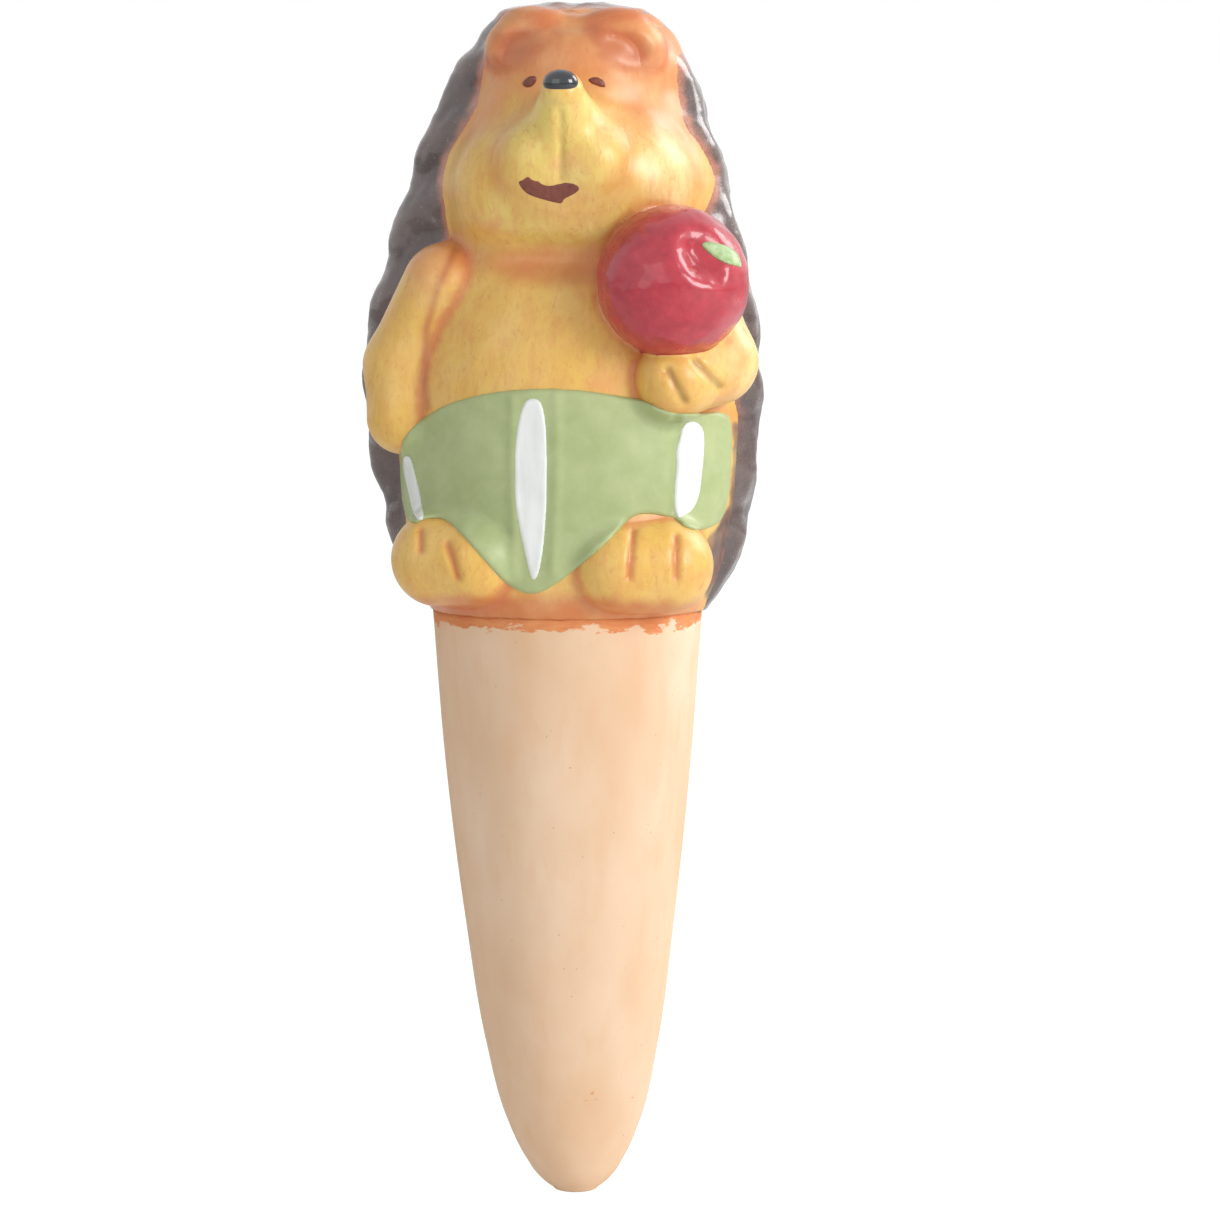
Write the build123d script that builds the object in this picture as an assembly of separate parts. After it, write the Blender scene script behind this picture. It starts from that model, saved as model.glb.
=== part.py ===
from build123d import *
import math
import os

# A hollow terracotta watering spike topped by a hedgehog figure. Millimetres, +Z up, figure facing -Y.
# The origin is on the spike's axis at the soil line, where the figure sits on the spike.
# Left and right in names are the hedgehog's own: its left is +X.

# Spike
SPIKE_LENGTH = 93.6
SPIKE_RADIUS = 21.4
SPIKE_WALL = 4.0
SPIKE_TIP_WALL = 6.0
SPIGOT_RADIUS = 18.6
SPIGOT_WALL = 3.0
SPIGOT_HEIGHT = 6.5
SLIP_GAP = 0.15

# Hollow figure
HEAD_HEIGHT = 95.0
BODY_HALF_WIDTH = 27.2
BODY_DEPTH = 24.2
COAT_OVER_HEAD = 1.4
COAT_HEIGHT = HEAD_HEIGHT + COAT_OVER_HEAD
COAT_HALF_WIDTH = 32.7
COAT_BACK_DEPTH = 28.4
COAT_LIP_DEPTH = 9.5
FIGURE_WALL = 4.0

# Quill tufts: staggered rows of soft scoops pressed into the coat
TUFT_DEPTH = 1.5
TUFTS_AROUND = 12
TUFT_ROWS = 13

# Filling hole in the back, square to the coat there, with a smooth band round it
FILL_HOLE_RADIUS = 6.0
FILL_HOLE_HEIGHT = 66.0
FILL_HOLE_TILT = 16.0
FILL_HOLE_RIM = 7.0

# Muzzle, nose and mouth
MUZZLE_RADIUS = 10.3
MUZZLE_TIP_RADIUS = 3.3
MUZZLE_LENGTH = 16.5
MUZZLE_SINK = 6.4
MUZZLE_RISE = 55.0
NOSE_RADIUS = 2.7
NOSE_PROUD = 0.8
MOUTH_WIDTH = 9.6
MOUTH_HEIGHT = 3.0
MOUTH_DEPTH = 0.8
MOUTH_FALL = 34.0

# Eyes and ears
EYE_RADIUS = 1.8
EYE_PROUD = 0.7
EAR_RADIUS = 4.9
EAR_WIDTH = 12.6
EAR_SINK = 1.8
EAR_TILT = 18.0
EAR_HOLLOW_RADIUS = 5.0
EAR_HOLLOW_DEPTH = 1.4

# Arms and paws
SHOULDER_RADIUS = 6.4
FOREARM_RADIUS = 7.0
HANGING_PAW_RADIUS = 6.0
ELBOW_RADIUS = 7.0
HOLDING_PAW_RADIUS = 6.6
FINGER_GROOVE_DEPTH = 0.7
FINGER_GROOVE_LENGTH = 6.0
FINGER_SPACING = 4.6

# Apple and its leaf
APPLE_RADIUS = 12.1
APPLE_SINK = 5.0
DIMPLE_RADIUS = 4.5
DIMPLE_DEPTH = 3.0
DIMPLE_EDGE = 1.2
LEAF_LENGTH = 8.6
LEAF_WIDTH = 3.2
LEAF_THICKNESS = 0.8

# Trousers
TROUSERS_THICKNESS = 0.9
PLACKET_THICKNESS = 0.6
PLACKET_WIDTH = 6.8

# Feet
FOOT_RADIUS = 7.3
FOOT_WIDTH = 21.0
FOOT_SPLAY = 22.0
FOOT_SINK = 1.2
TOE_GROOVE_DEPTH = 0.7
TOE_GROOVE_LENGTH = 6.4
TOE_SPACING = 7.0
TOE_RISE = 25.0

# Length by which a cutting shape runs past what it cuts
OVERRUN = 2.0

# Points on an oval section, and on the coat's sections for each tuft
OVAL_POINTS = 16
TUFT_POINTS = 4

# Share by which the second of two like balls is smaller, so that their surfaces never coincide
NEST_SHARE = 0.98

# Spike outline from the soil line to where the tip rounds off: share of the length, share of the radius
SPIKE_OUTLINE_SHARES = [(0.0, 1.0), (0.26, 0.911), (0.53, 0.776), (0.74, 0.64), (0.87, 0.5), (0.938, 0.365)]
SPIKE_BORE_ROWS = 5

# Body and head sections: share of the head's height, of the half width, of the depth in front,
# and sideways shift as a share of the half width
BODY_SHARES = [
    (0.0, 0.795, 0.893, 0.0),
    (0.063, 0.890, 0.934, 0.01),
    (0.168, 0.965, 0.983, 0.025),
    (0.284, 1.0, 1.0, 0.025),
    (0.400, 0.975, 0.967, 0.02),
    (0.505, 0.885, 0.868, 0.02),
    (0.579, 0.787, 0.752, 0.04),
    (0.616, 0.757, 0.720, 0.055),
    (0.663, 0.785, 0.777, 0.07),
    (0.716, 0.800, 0.810, 0.075),
    (0.758, 0.765, 0.785, 0.075),
    (0.811, 0.670, 0.700, 0.080),
    (0.863, 0.600, 0.632, 0.088),
    (0.926, 0.570, 0.530, 0.095),
    (0.968, 0.480, 0.405, 0.095),
    (0.993, 0.320, 0.248, 0.090),
    (1.0, 0.170, 0.120, 0.085),
]

# Coat sections: share of the coat's height, of the half width, of the back depth,
# of the lip depth, and sideways shift as a share of the half width
COAT_SHARES = [
    (0.0, 0.680, 0.785, 0.60, 0.0),
    (0.047, 0.795, 0.840, 0.80, 0.0),
    (0.112, 0.885, 0.890, 0.95, -0.005),
    (0.178, 0.935, 0.925, 1.0, -0.015),
    (0.280, 0.980, 0.970, 1.0, -0.028),
    (0.377, 1.0, 1.0, 1.0, -0.030),
    (0.474, 0.975, 1.0, 1.0, -0.028),
    (0.575, 0.910, 0.960, 1.0, -0.018),
    (0.673, 0.830, 0.885, 1.0, -0.005),
    (0.773, 0.740, 0.785, 1.0, 0.005),
    (0.860, 0.635, 0.655, 0.95, 0.020),
    (0.925, 0.530, 0.510, 0.85, 0.030),
    (0.968, 0.415, 0.370, 0.70, 0.032),
    (0.991, 0.280, 0.230, 0.45, 0.032),
    (1.0, 0.150, 0.120, 0.20, 0.032),
]
TUFT_SPAN_SHARES = (0.09, 0.93)

# Heights of the water chamber's sections, as shares of the head's height
CHAMBER_HEIGHT_SHARES = [0.168, 0.400, 0.600, 0.716, 0.863, 0.926]

# Places on the body: share of the head's height, then share of the half width, towards its left
MUZZLE_PLACE_SHARES = (0.742, 0.05)
EYE_PLACE_SHARES = {"left_eye": (0.893, 0.345), "right_eye": (0.893, -0.375)}
EAR_PLACE_SHARES = {"left_ear": (0.952, 0.66), "right_ear": (0.952, -0.62)}
SHOULDER_PLACE_SHARES = (0.545, 0.86)
FOREARM_PLACE_SHARES = (0.395, 0.93)
HANGING_PAW_PLACE_SHARES = (0.325, 0.90)
ELBOW_PLACE_SHARES = (0.425, 0.90)
HOLDING_PAW_PLACE_SHARES = (0.400, 0.70)
APPLE_PLACE_SHARES = (0.562, 0.68)
FOOT_PLACE_SHARES = {"left_foot": (0.088, 0.62), "right_foot": (0.094, -0.62)}
PLACKET_PLACE_SHARE = -0.045

# How far a limb's centre lies outside the skin, as a share of its own radius
SHOULDER_PROUD_SHARE = -0.15
FOREARM_PROUD_SHARE = 0.05
HANGING_PAW_PROUD_SHARE = 0.1
ELBOW_PROUD_SHARE = 0.25
HOLDING_PAW_PROUD_SHARE = 0.35

# Lean of the finger grooves: share sideways for each share upwards
FINGER_LEAN_SHARE = 0.5

# Directions as shares: of the apple's stem, and of the leaf's middle and length from the apple's centre
APPLE_STEM_SHARES = (0.54, -0.72, 0.43)
LEAF_MIDDLE_SHARES = (0.73, -0.52, 0.44)
LEAF_LENGTH_SHARES = (0.83, 0.10, -0.54)

# Front view of the trousers: share of the body's half width, share of the head's height
TROUSERS_TOP_SHARES = [(-1.2, 0.27), (-0.85, 0.315), (-0.45, 0.372), (0.0, 0.388), (0.5, 0.380), (1.2, 0.335)]
TROUSERS_LOW_SHARES = [
    (1.2, 0.12),
    (0.64, 0.20),
    (0.30, 0.13),
    (-0.05, 0.035),
    (-0.36, 0.13),
    (-0.66, 0.20),
    (-1.2, 0.12),
]


def row_at(shares, height_share):
    """A row of a section table at any height, on a smooth curve through the rows given."""
    last = len(shares) - 1
    place = next(i for i in range(last) if height_share <= shares[i + 1][0])
    low, high = shares[place], shares[place + 1]
    before, after = shares[max(place - 1, 0)], shares[min(place + 2, last)]
    step = high[0] - low[0]
    along = (height_share - low[0]) / step
    row = [height_share]
    for column in range(1, len(low)):
        low_slope = step * (high[column] - before[column]) / (high[0] - before[0])
        high_slope = step * (after[column] - low[column]) / (after[0] - low[0])
        bend = 3 * (high[column] - low[column]) - 2 * low_slope - high_slope
        ease = low_slope + high_slope - 2 * (high[column] - low[column])
        row.append(low[column] + along * (low_slope + along * (bend + along * ease)))
    return row


def section(half_width, front_depth, back_depth, shift, height):
    """A closed smooth oval, deeper or shallower in front than behind."""
    points = []
    for step in range(OVAL_POINTS):
        turn = 2 * math.pi * step / OVAL_POINTS
        depth = back_depth if math.sin(turn) > 0 else front_depth
        points.append((shift + half_width * math.cos(turn), depth * math.sin(turn), height))
    return make_face(Spline(*points, periodic=True))


def body_form(extra=0.0):
    """The body and head as a closed solid, grown by extra all round."""
    sections = []
    for up, wide, deep, shift in BODY_SHARES:
        depth = BODY_DEPTH * deep + extra
        half_width = BODY_HALF_WIDTH * wide + extra
        sections.append(section(half_width, depth, depth, BODY_HALF_WIDTH * shift, HEAD_HEIGHT * up))
    return loft(sections)


def tuft_cut(turn, x, y, height, row):
    """How far a row's scoops dent the coat at a point: less on its lip, and none round the hole."""
    scoops = (1 + math.cos(TUFTS_AROUND * turn + math.pi * row)) / 2
    sides = min(1, max(0, 1 + y / COAT_LIP_DEPTH))
    from_hole = math.hypot(x, height - FILL_HOLE_HEIGHT) - FILL_HOLE_RADIUS
    rim = min(1, max(0, from_hole / FILL_HOLE_RIM)) if y > 0 else 1
    return TUFT_DEPTH * scoops * sides * rim


def coat_section(height_share, row=None):
    """A closed section of the coat, dented where it lies on a row of tufts."""
    _, wide, deep, lip, shift = row_at(COAT_SHARES, height_share)
    height = COAT_HEIGHT * height_share
    half_width = COAT_HALF_WIDTH * wide
    steps = TUFT_POINTS * TUFTS_AROUND
    points = []
    for step in range(steps):
        turn = 2 * math.pi * step / steps
        depth = COAT_BACK_DEPTH * deep if math.sin(turn) > 0 else COAT_LIP_DEPTH * lip
        x = half_width * math.cos(turn)
        y = depth * math.sin(turn)
        cut = 0 if row is None else tuft_cut(turn, x, y, height, row)
        points.append((COAT_HALF_WIDTH * shift + x - cut * math.cos(turn), y - cut * math.sin(turn), height))
    return make_face(Spline(*points, periodic=True))


def coat_form():
    """The coat as a closed solid: deep behind, with a shallow lip in front that wraps the body's sides."""
    low, high = TUFT_SPAN_SHARES
    sections = [coat_section(row[0]) for row in COAT_SHARES if row[0] < low]
    for row in range(TUFT_ROWS):
        sections.append(coat_section(low + (high - low) * row / (TUFT_ROWS - 1), row))
    sections += [coat_section(row[0]) for row in COAT_SHARES if row[0] > high]
    return loft(sections, ruled=True)


def chamber():
    """The water space in the figure, a wall's thickness inside the body in front and the coat behind."""
    mouth_radius = SPIGOT_RADIUS - SPIGOT_WALL
    sections = [section(mouth_radius, mouth_radius, mouth_radius, 0, SPIGOT_HEIGHT - SLIP_GAP)]
    for height_share in CHAMBER_HEIGHT_SHARES:
        height = HEAD_HEIGHT * height_share
        _, wide, deep, shift = row_at(BODY_SHARES, height_share)
        coat_deep = row_at(COAT_SHARES, height / COAT_HEIGHT)[2]
        back_depth = COAT_BACK_DEPTH * coat_deep - FIGURE_WALL - TUFT_DEPTH
        front_depth = BODY_DEPTH * deep - FIGURE_WALL
        half_width = BODY_HALF_WIDTH * wide - FIGURE_WALL
        sections.append(section(half_width, front_depth, back_depth, BODY_HALF_WIDTH * shift, height))
    return loft(sections, ruled=True)


def socket():
    """The round socket in the figure's base that takes the spike's spigot."""
    return Cylinder(SPIGOT_RADIUS + SLIP_GAP, SPIGOT_HEIGHT, align=(Align.CENTER, Align.CENTER, Align.MIN))


def fill_hole():
    """The filling hole through the back wall, which slopes down into the chamber."""
    depth = COAT_BACK_DEPTH * row_at(COAT_SHARES, FILL_HOLE_HEIGHT / COAT_HEIGHT)[2]
    tilt = math.radians(FILL_HOLE_TILT)
    place = Plane(origin=(0, depth, FILL_HOLE_HEIGHT), z_dir=(0, math.cos(tilt), math.sin(tilt)))
    return place * Cylinder(FILL_HOLE_RADIUS, 2 * (FIGURE_WALL + TUFT_DEPTH + OVERRUN))


def in_front(shape):
    """The part of a figure solid in front of the seam plane, where the two moulded halves meet."""
    width = 4 * COAT_HALF_WIDTH
    return shape & Box(width, width, 4 * COAT_HEIGHT, align=(Align.CENTER, Align.MAX, Align.CENTER))


def skin(place_shares, out=0.0):
    """A point out from the body's front skin, and the direction the skin faces there."""
    up, across = place_shares
    _, wide, deep, shift = row_at(BODY_SHARES, up)
    half_width = BODY_HALF_WIDTH * wide
    depth = BODY_DEPTH * deep
    fall = math.sqrt(1 - across * across)
    facing = Vector(across / half_width, -fall / depth, 0).normalized()
    point = Vector(BODY_HALF_WIDTH * shift + half_width * across, -depth * fall, HEAD_HEIGHT * up)
    return point + facing * out, facing


def mirrored(place_shares):
    """The same place on the figure's right side."""
    return (place_shares[0], -place_shares[1])


def capsule(start, end, start_radius, end_radius):
    """Two balls joined by the cone that touches both: a limb, a muzzle or a groove."""
    reach = (end - start).length
    lean = (start_radius - end_radius) / reach
    rise = math.sqrt(1 - lean * lean)
    start_touch = (start_radius * rise, start_radius * lean)
    end_touch = (end_radius * rise, reach + end_radius * lean)
    start_turn = (math.asin(lean) - math.pi / 2) / 2
    end_turn = (math.asin(lean) + math.pi / 2) / 2
    start_middle = (start_radius * math.cos(start_turn), start_radius * math.sin(start_turn))
    end_middle = (end_radius * math.cos(end_turn), reach + end_radius * math.sin(end_turn))
    outline = Wire([
        ThreePointArc((0, -start_radius), start_middle, start_touch),
        Line(start_touch, end_touch),
        ThreePointArc(end_touch, end_middle, (0, reach + end_radius)),
        Line((0, reach + end_radius), (0, -start_radius)),
    ])
    profile = Plane.XZ * make_face(outline)
    return Plane(origin=start, z_dir=end - start) * revolve(profile, Axis.Z)


def groove(middle, along, facing, length, depth):
    """A V-shaped cutter laid along a direction, with its edge sunk to a depth."""
    wedge = Rot(X=45) * Box(length, 2 * depth, 2 * depth)
    sink = depth * (math.sqrt(2) - 1)
    return Plane(origin=middle + facing * sink, x_dir=along, z_dir=facing) * wedge


def spike_profile(rows, wall=0.0, tip_wall=0.0):
    """Half of the spike's outline through some rows, drawn in by a wall and a thicker tip that ends round."""
    side = [(SPIKE_RADIUS * wide - wall, -SPIKE_LENGTH * down) for down, wide in rows]
    tip = (0, tip_wall - SPIKE_LENGTH)
    stretches = [Line(upper, lower) for upper, lower in zip(side, side[1:])]
    round_tip = TangentArc(tip, side[-1], tangent=(1, 0))
    return make_face(Wire([Line((0, 0), side[0]), *stretches, round_tip, Line(tip, (0, 0))]))


def spike():
    """The porous clay spike: a hollow tapering cone with a spigot that enters the figure's base."""
    cone = revolve(Plane.XZ * spike_profile(SPIKE_OUTLINE_SHARES), Axis.Z)
    room = spike_profile(SPIKE_OUTLINE_SHARES[:SPIKE_BORE_ROWS], SPIKE_WALL, SPIKE_TIP_WALL)
    bore = revolve(Plane.XZ * room, Axis.Z)
    upwards = (Align.CENTER, Align.CENTER, Align.MIN)
    spigot = Cylinder(SPIGOT_RADIUS, SPIGOT_HEIGHT - SLIP_GAP, align=upwards)
    neck = Pos(0, 0, -OVERRUN) * Cylinder(SPIGOT_RADIUS - SPIGOT_WALL, SPIGOT_HEIGHT + 2 * OVERRUN, align=upwards)
    return cone + spigot - bore - neck


def muzzle_line():
    """The middles of the muzzle's wide ball and of its tip ball."""
    start, facing = skin(MUZZLE_PLACE_SHARES, -MUZZLE_SINK)
    rise = math.radians(MUZZLE_RISE)
    lean = facing * math.cos(rise) + Vector(0, 0, 1) * math.sin(rise)
    return start, start + lean * MUZZLE_LENGTH


def muzzle():
    """The snout: a blunt cone that leans up and forward, with the mouth pressed in under it."""
    start, tip = muzzle_line()
    snout = capsule(start, tip, MUZZLE_RADIUS, MUZZLE_TIP_RADIUS)
    fall = math.radians(MOUTH_FALL)
    down = Vector(0, -math.cos(fall), -math.sin(fall))
    lip = start + down * (MUZZLE_RADIUS - MOUTH_DEPTH + MOUTH_HEIGHT / 2)
    half = Vector(MOUTH_WIDTH / 2 - MOUTH_HEIGHT / 2, 0, 0)
    return snout - capsule(lip - half, lip + half, MOUTH_HEIGHT / 2, MOUTH_HEIGHT / 2 * NEST_SHARE)


def nose():
    """The nose: a ball set on the muzzle's tip."""
    start, tip = muzzle_line()
    lean = (tip - start).normalized()
    return Pos(*(tip + lean * (MUZZLE_TIP_RADIUS - NOSE_RADIUS + NOSE_PROUD))) * Sphere(NOSE_RADIUS)


def eye(name):
    """A small domed eye on the face, beside the muzzle."""
    middle, _ = skin(EYE_PLACE_SHARES[name], EYE_PROUD - EYE_RADIUS)
    return Pos(*middle) * Sphere(EYE_RADIUS)


def ear(name):
    """A low rounded ear with a hollow pressed into its front."""
    side = 1 if name == "left_ear" else -1
    middle, _ = skin(EAR_PLACE_SHARES[name], -EAR_SINK)
    tilt = math.radians(EAR_TILT)
    half = Vector(math.cos(tilt), 0, -side * math.sin(tilt)) * (EAR_WIDTH / 2 - EAR_RADIUS)
    lobe = capsule(middle - half, middle + half, EAR_RADIUS, EAR_RADIUS * NEST_SHARE)
    front = middle + Vector(0, -1, 0) * (EAR_RADIUS - EAR_HOLLOW_DEPTH + EAR_HOLLOW_RADIUS)
    return lobe - capsule(front - half, front + half, EAR_HOLLOW_RADIUS, EAR_HOLLOW_RADIUS * NEST_SHARE)


def hanging_arm():
    """The right arm, which hangs at the side with its paw on the trousers."""
    shoulder, _ = skin(mirrored(SHOULDER_PLACE_SHARES), SHOULDER_RADIUS * SHOULDER_PROUD_SHARE)
    forearm, _ = skin(mirrored(FOREARM_PLACE_SHARES), FOREARM_RADIUS * FOREARM_PROUD_SHARE)
    paw, _ = skin(mirrored(HANGING_PAW_PLACE_SHARES), HANGING_PAW_RADIUS * HANGING_PAW_PROUD_SHARE)
    upper = capsule(shoulder, forearm, SHOULDER_RADIUS, FOREARM_RADIUS)
    lower = capsule(forearm, paw, FOREARM_RADIUS * NEST_SHARE, HANGING_PAW_RADIUS)
    return [upper, lower]


def holding_arm():
    """The left arm, bent so that its paw lies under the apple, with two grooves between its fingers."""
    shoulder, _ = skin(SHOULDER_PLACE_SHARES, SHOULDER_RADIUS * SHOULDER_PROUD_SHARE)
    elbow, _ = skin(ELBOW_PLACE_SHARES, ELBOW_RADIUS * ELBOW_PROUD_SHARE)
    paw, facing = skin(HOLDING_PAW_PLACE_SHARES, HOLDING_PAW_RADIUS * HOLDING_PAW_PROUD_SHARE)
    upper = capsule(shoulder, elbow, SHOULDER_RADIUS, ELBOW_RADIUS)
    lower = capsule(elbow, paw, ELBOW_RADIUS * NEST_SHARE, HOLDING_PAW_RADIUS)
    across = Vector(0, 0, 1).cross(facing)
    for side in (-1, 1):
        offset = side * FINGER_SPACING / 2
        out = (across * offset + facing * math.sqrt(HOLDING_PAW_RADIUS ** 2 - offset ** 2)).normalized()
        along = (Vector(0, 0, 1) - across * FINGER_LEAN_SHARE).cross(out).cross(out) * -1
        lower -= groove(paw + out * HOLDING_PAW_RADIUS, along, out, FINGER_GROOVE_LENGTH, FINGER_GROOVE_DEPTH)
    return [upper, lower]


def apple_place():
    """The apple's middle, with its stem's direction as the local Z."""
    middle, _ = skin(APPLE_PLACE_SHARES, APPLE_RADIUS - APPLE_SINK)
    return Plane(origin=middle, z_dir=Vector(*APPLE_STEM_SHARES))


def apple():
    """A round apple with a soft-edged dimple at its stem."""
    hollow = Pos(0, 0, APPLE_RADIUS + DIMPLE_RADIUS - DIMPLE_DEPTH) * Sphere(DIMPLE_RADIUS)
    ball = Sphere(APPLE_RADIUS) - hollow
    rim = ball.edges().filter_by(GeomType.CIRCLE).sort_by(Axis.Z)[-1]
    return apple_place() * fillet(rim, DIMPLE_EDGE)


def leaf():
    """The leaf: a pointed oval that lies on the apple beside its dimple."""
    half = LEAF_LENGTH / 2
    upper = ThreePointArc((-half, 0), (0, LEAF_WIDTH / 2), (half, 0))
    lower = ThreePointArc((half, 0), (0, -LEAF_WIDTH / 2), (-half, 0))
    middle = apple_place().origin
    place = Plane(middle, Vector(*LEAF_LENGTH_SHARES), Vector(*LEAF_MIDDLE_SHARES))
    blade = place * extrude(make_face(Wire([upper, lower])), 2 * APPLE_RADIUS)
    return blade & Pos(*middle) * Sphere(APPLE_RADIUS + LEAF_THICKNESS)


def trousers(body):
    """The trousers: a thin layer over the belly, with a raised placket down the front."""
    top = [(BODY_HALF_WIDTH * across, HEAD_HEIGHT * up) for across, up in TROUSERS_TOP_SHARES]
    low = [(BODY_HALF_WIDTH * across, HEAD_HEIGHT * up) for across, up in TROUSERS_LOW_SHARES]
    sides = [Line(top[-1], low[0]), Line(low[-1], top[0])]
    outline = Plane.XZ * make_face(Wire([Spline(*top), sides[0], Spline(*low), sides[1]]))
    reach = 2 * BODY_DEPTH
    front = extrude(outline, reach)
    strip = Box(PLACKET_WIDTH, reach, HEAD_HEIGHT, align=(Align.CENTER, Align.MAX, Align.MIN))
    strip = Pos(BODY_HALF_WIDTH * PLACKET_PLACE_SHARE, 0, 0) * strip
    cloth = body_form(TROUSERS_THICKNESS) + (body_form(TROUSERS_THICKNESS + PLACKET_THICKNESS) & strip)
    return (cloth - body) & front


def foot(name):
    """A plump foot turned outwards, with two grooves between its toes."""
    side = 1 if name == "left_foot" else -1
    middle, _ = skin(FOOT_PLACE_SHARES[name], -FOOT_SINK)
    splay = math.radians(FOOT_SPLAY)
    along = Vector(math.cos(splay), side * math.sin(splay), 0)
    half = along * (FOOT_WIDTH / 2 - FOOT_RADIUS)
    shape = capsule(middle - half, middle + half, FOOT_RADIUS, FOOT_RADIUS * NEST_SHARE)
    level = along.cross(Vector(0, 0, 1))
    rise = math.radians(TOE_RISE)
    out = level * math.cos(rise) + Vector(0, 0, 1) * math.sin(rise)
    for toe in (-1, 1):
        touch = middle + along * (toe * TOE_SPACING / 2) + out * FOOT_RADIUS
        shape -= groove(touch, along.cross(out), out, TOE_GROOVE_LENGTH, TOE_GROOVE_DEPTH)
    return shape


def seated(limb, carriers):
    """A limb made of several solids, each cut to seat on what carries it and then joined into one."""
    pieces = []
    for piece in limb:
        for carrier in carriers:
            piece -= carrier
        pieces.append(piece)
    return pieces[0] + pieces[1]


def make_parts():
    """Every piece of clay, each cut to seat on the pieces that carry it."""
    body = body_form()
    coat = coat_form()
    body_front = in_front(body)
    room = chamber()
    base = socket()
    parts = {"spike": spike()}
    parts["front_shell"] = body_front - room - base
    parts["quill_coat"] = coat - body_front - room - base - fill_hole()
    held_apple = apple()
    parts["apple"] = held_apple - body - coat
    parts["leaf"] = leaf() - held_apple
    parts["hanging_arm"] = seated(hanging_arm(), [body, coat])
    parts["holding_arm"] = seated(holding_arm(), [body, coat, held_apple])
    snout = muzzle()
    parts["muzzle"] = snout - body
    parts["nose"] = nose() - snout
    for name in EYE_PLACE_SHARES:
        parts[name] = eye(name) - body - snout
    for name in EAR_PLACE_SHARES:
        parts[name] = ear(name) - body - coat
    for name in FOOT_PLACE_SHARES:
        parts[name] = foot(name) - body - coat
    cloth = trousers(body) - coat
    for name in ("left_foot", "right_foot", "hanging_arm", "holding_arm", "apple"):
        cloth -= parts[name]
    parts["trousers"] = cloth
    return parts


os.makedirs("parts", exist_ok=True)
for part_name, shape in make_parts().items():
    export_step(shape, f"parts/{part_name}.step")
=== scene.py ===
# Looks of a self watering spike: hand painted fired clay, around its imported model.
# Lengths are millimetres in the model's own frame until mesh_object turns them into metres.
import math

import bpy
import numpy as np
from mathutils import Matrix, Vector


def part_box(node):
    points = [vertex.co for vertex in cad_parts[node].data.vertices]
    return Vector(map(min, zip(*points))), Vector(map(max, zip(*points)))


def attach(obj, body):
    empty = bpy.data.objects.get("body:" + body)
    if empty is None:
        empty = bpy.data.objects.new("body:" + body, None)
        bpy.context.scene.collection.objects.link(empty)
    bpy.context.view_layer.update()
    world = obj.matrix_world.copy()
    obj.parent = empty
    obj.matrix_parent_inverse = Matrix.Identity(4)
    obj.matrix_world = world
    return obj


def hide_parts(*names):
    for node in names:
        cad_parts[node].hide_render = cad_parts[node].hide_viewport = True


MM = 0.001
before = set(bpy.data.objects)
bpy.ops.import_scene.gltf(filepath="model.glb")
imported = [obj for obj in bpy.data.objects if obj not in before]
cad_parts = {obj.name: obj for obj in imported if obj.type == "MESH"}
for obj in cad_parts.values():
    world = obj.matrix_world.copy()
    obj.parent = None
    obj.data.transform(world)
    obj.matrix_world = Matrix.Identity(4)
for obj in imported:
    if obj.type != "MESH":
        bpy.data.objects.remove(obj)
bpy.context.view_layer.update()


def node_box(node):
    """Lowest and highest corner of a model node, in millimetres."""
    low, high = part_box(node)
    return np.array(low) / MM, np.array(high) / MM


# Grid steps for the sculpted pieces
COARSE = 1.0
SHELL_STEP = 0.55 * COARSE
LIMB_STEP = 0.42 * COARSE
FINE_STEP = 0.24 * COARSE

# Sizes that follow the frame
SHELL_LOW, SHELL_HIGH = node_box("front_shell")
COAT_LOW, COAT_HIGH = node_box("quill_coat")
SPIKE_LOW, SPIKE_HIGH = node_box("spike")
HEAD_HEIGHT = SHELL_HIGH[2]
BODY_HALF_WIDTH = (SHELL_HIGH[0] - SHELL_LOW[0]) / 2
BODY_DEPTH = -SHELL_LOW[1]
COAT_HEIGHT = COAT_HIGH[2]
COAT_HALF_WIDTH = (COAT_HIGH[0] - COAT_LOW[0]) / 2
COAT_BACK_DEPTH = COAT_HIGH[1]
COAT_LIP_DEPTH = 0.39 * BODY_DEPTH
SPIKE_LENGTH = -SPIKE_LOW[2]
SPIKE_RADIUS = SPIKE_HIGH[0]

# The figure's wall and its filling hole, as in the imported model
FIGURE_WALL = 4.0
FILL_HOLE_RADIUS = 6.0
FILL_HOLE_HEIGHT = 66.0
FILL_HOLE_TILT = 16.0

# Body and head: share of the height, of the half width, of the depth, and sideways shift
BODY_SHARES = [
    (0.0, 0.795, 0.893, 0.0),
    (0.063, 0.890, 0.934, 0.01),
    (0.168, 0.965, 0.983, 0.025),
    (0.284, 1.0, 1.0, 0.025),
    (0.400, 0.975, 0.967, 0.02),
    (0.505, 0.885, 0.868, 0.02),
    (0.579, 0.787, 0.752, 0.04),
    (0.616, 0.757, 0.720, 0.055),
    (0.663, 0.785, 0.777, 0.07),
    (0.716, 0.800, 0.810, 0.075),
    (0.758, 0.765, 0.785, 0.075),
    (0.811, 0.670, 0.700, 0.080),
    (0.863, 0.600, 0.632, 0.088),
    (0.926, 0.570, 0.530, 0.095),
    (0.968, 0.480, 0.405, 0.095),
    (0.993, 0.320, 0.248, 0.090),
    (1.0, 0.170, 0.120, 0.085),
]

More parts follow.
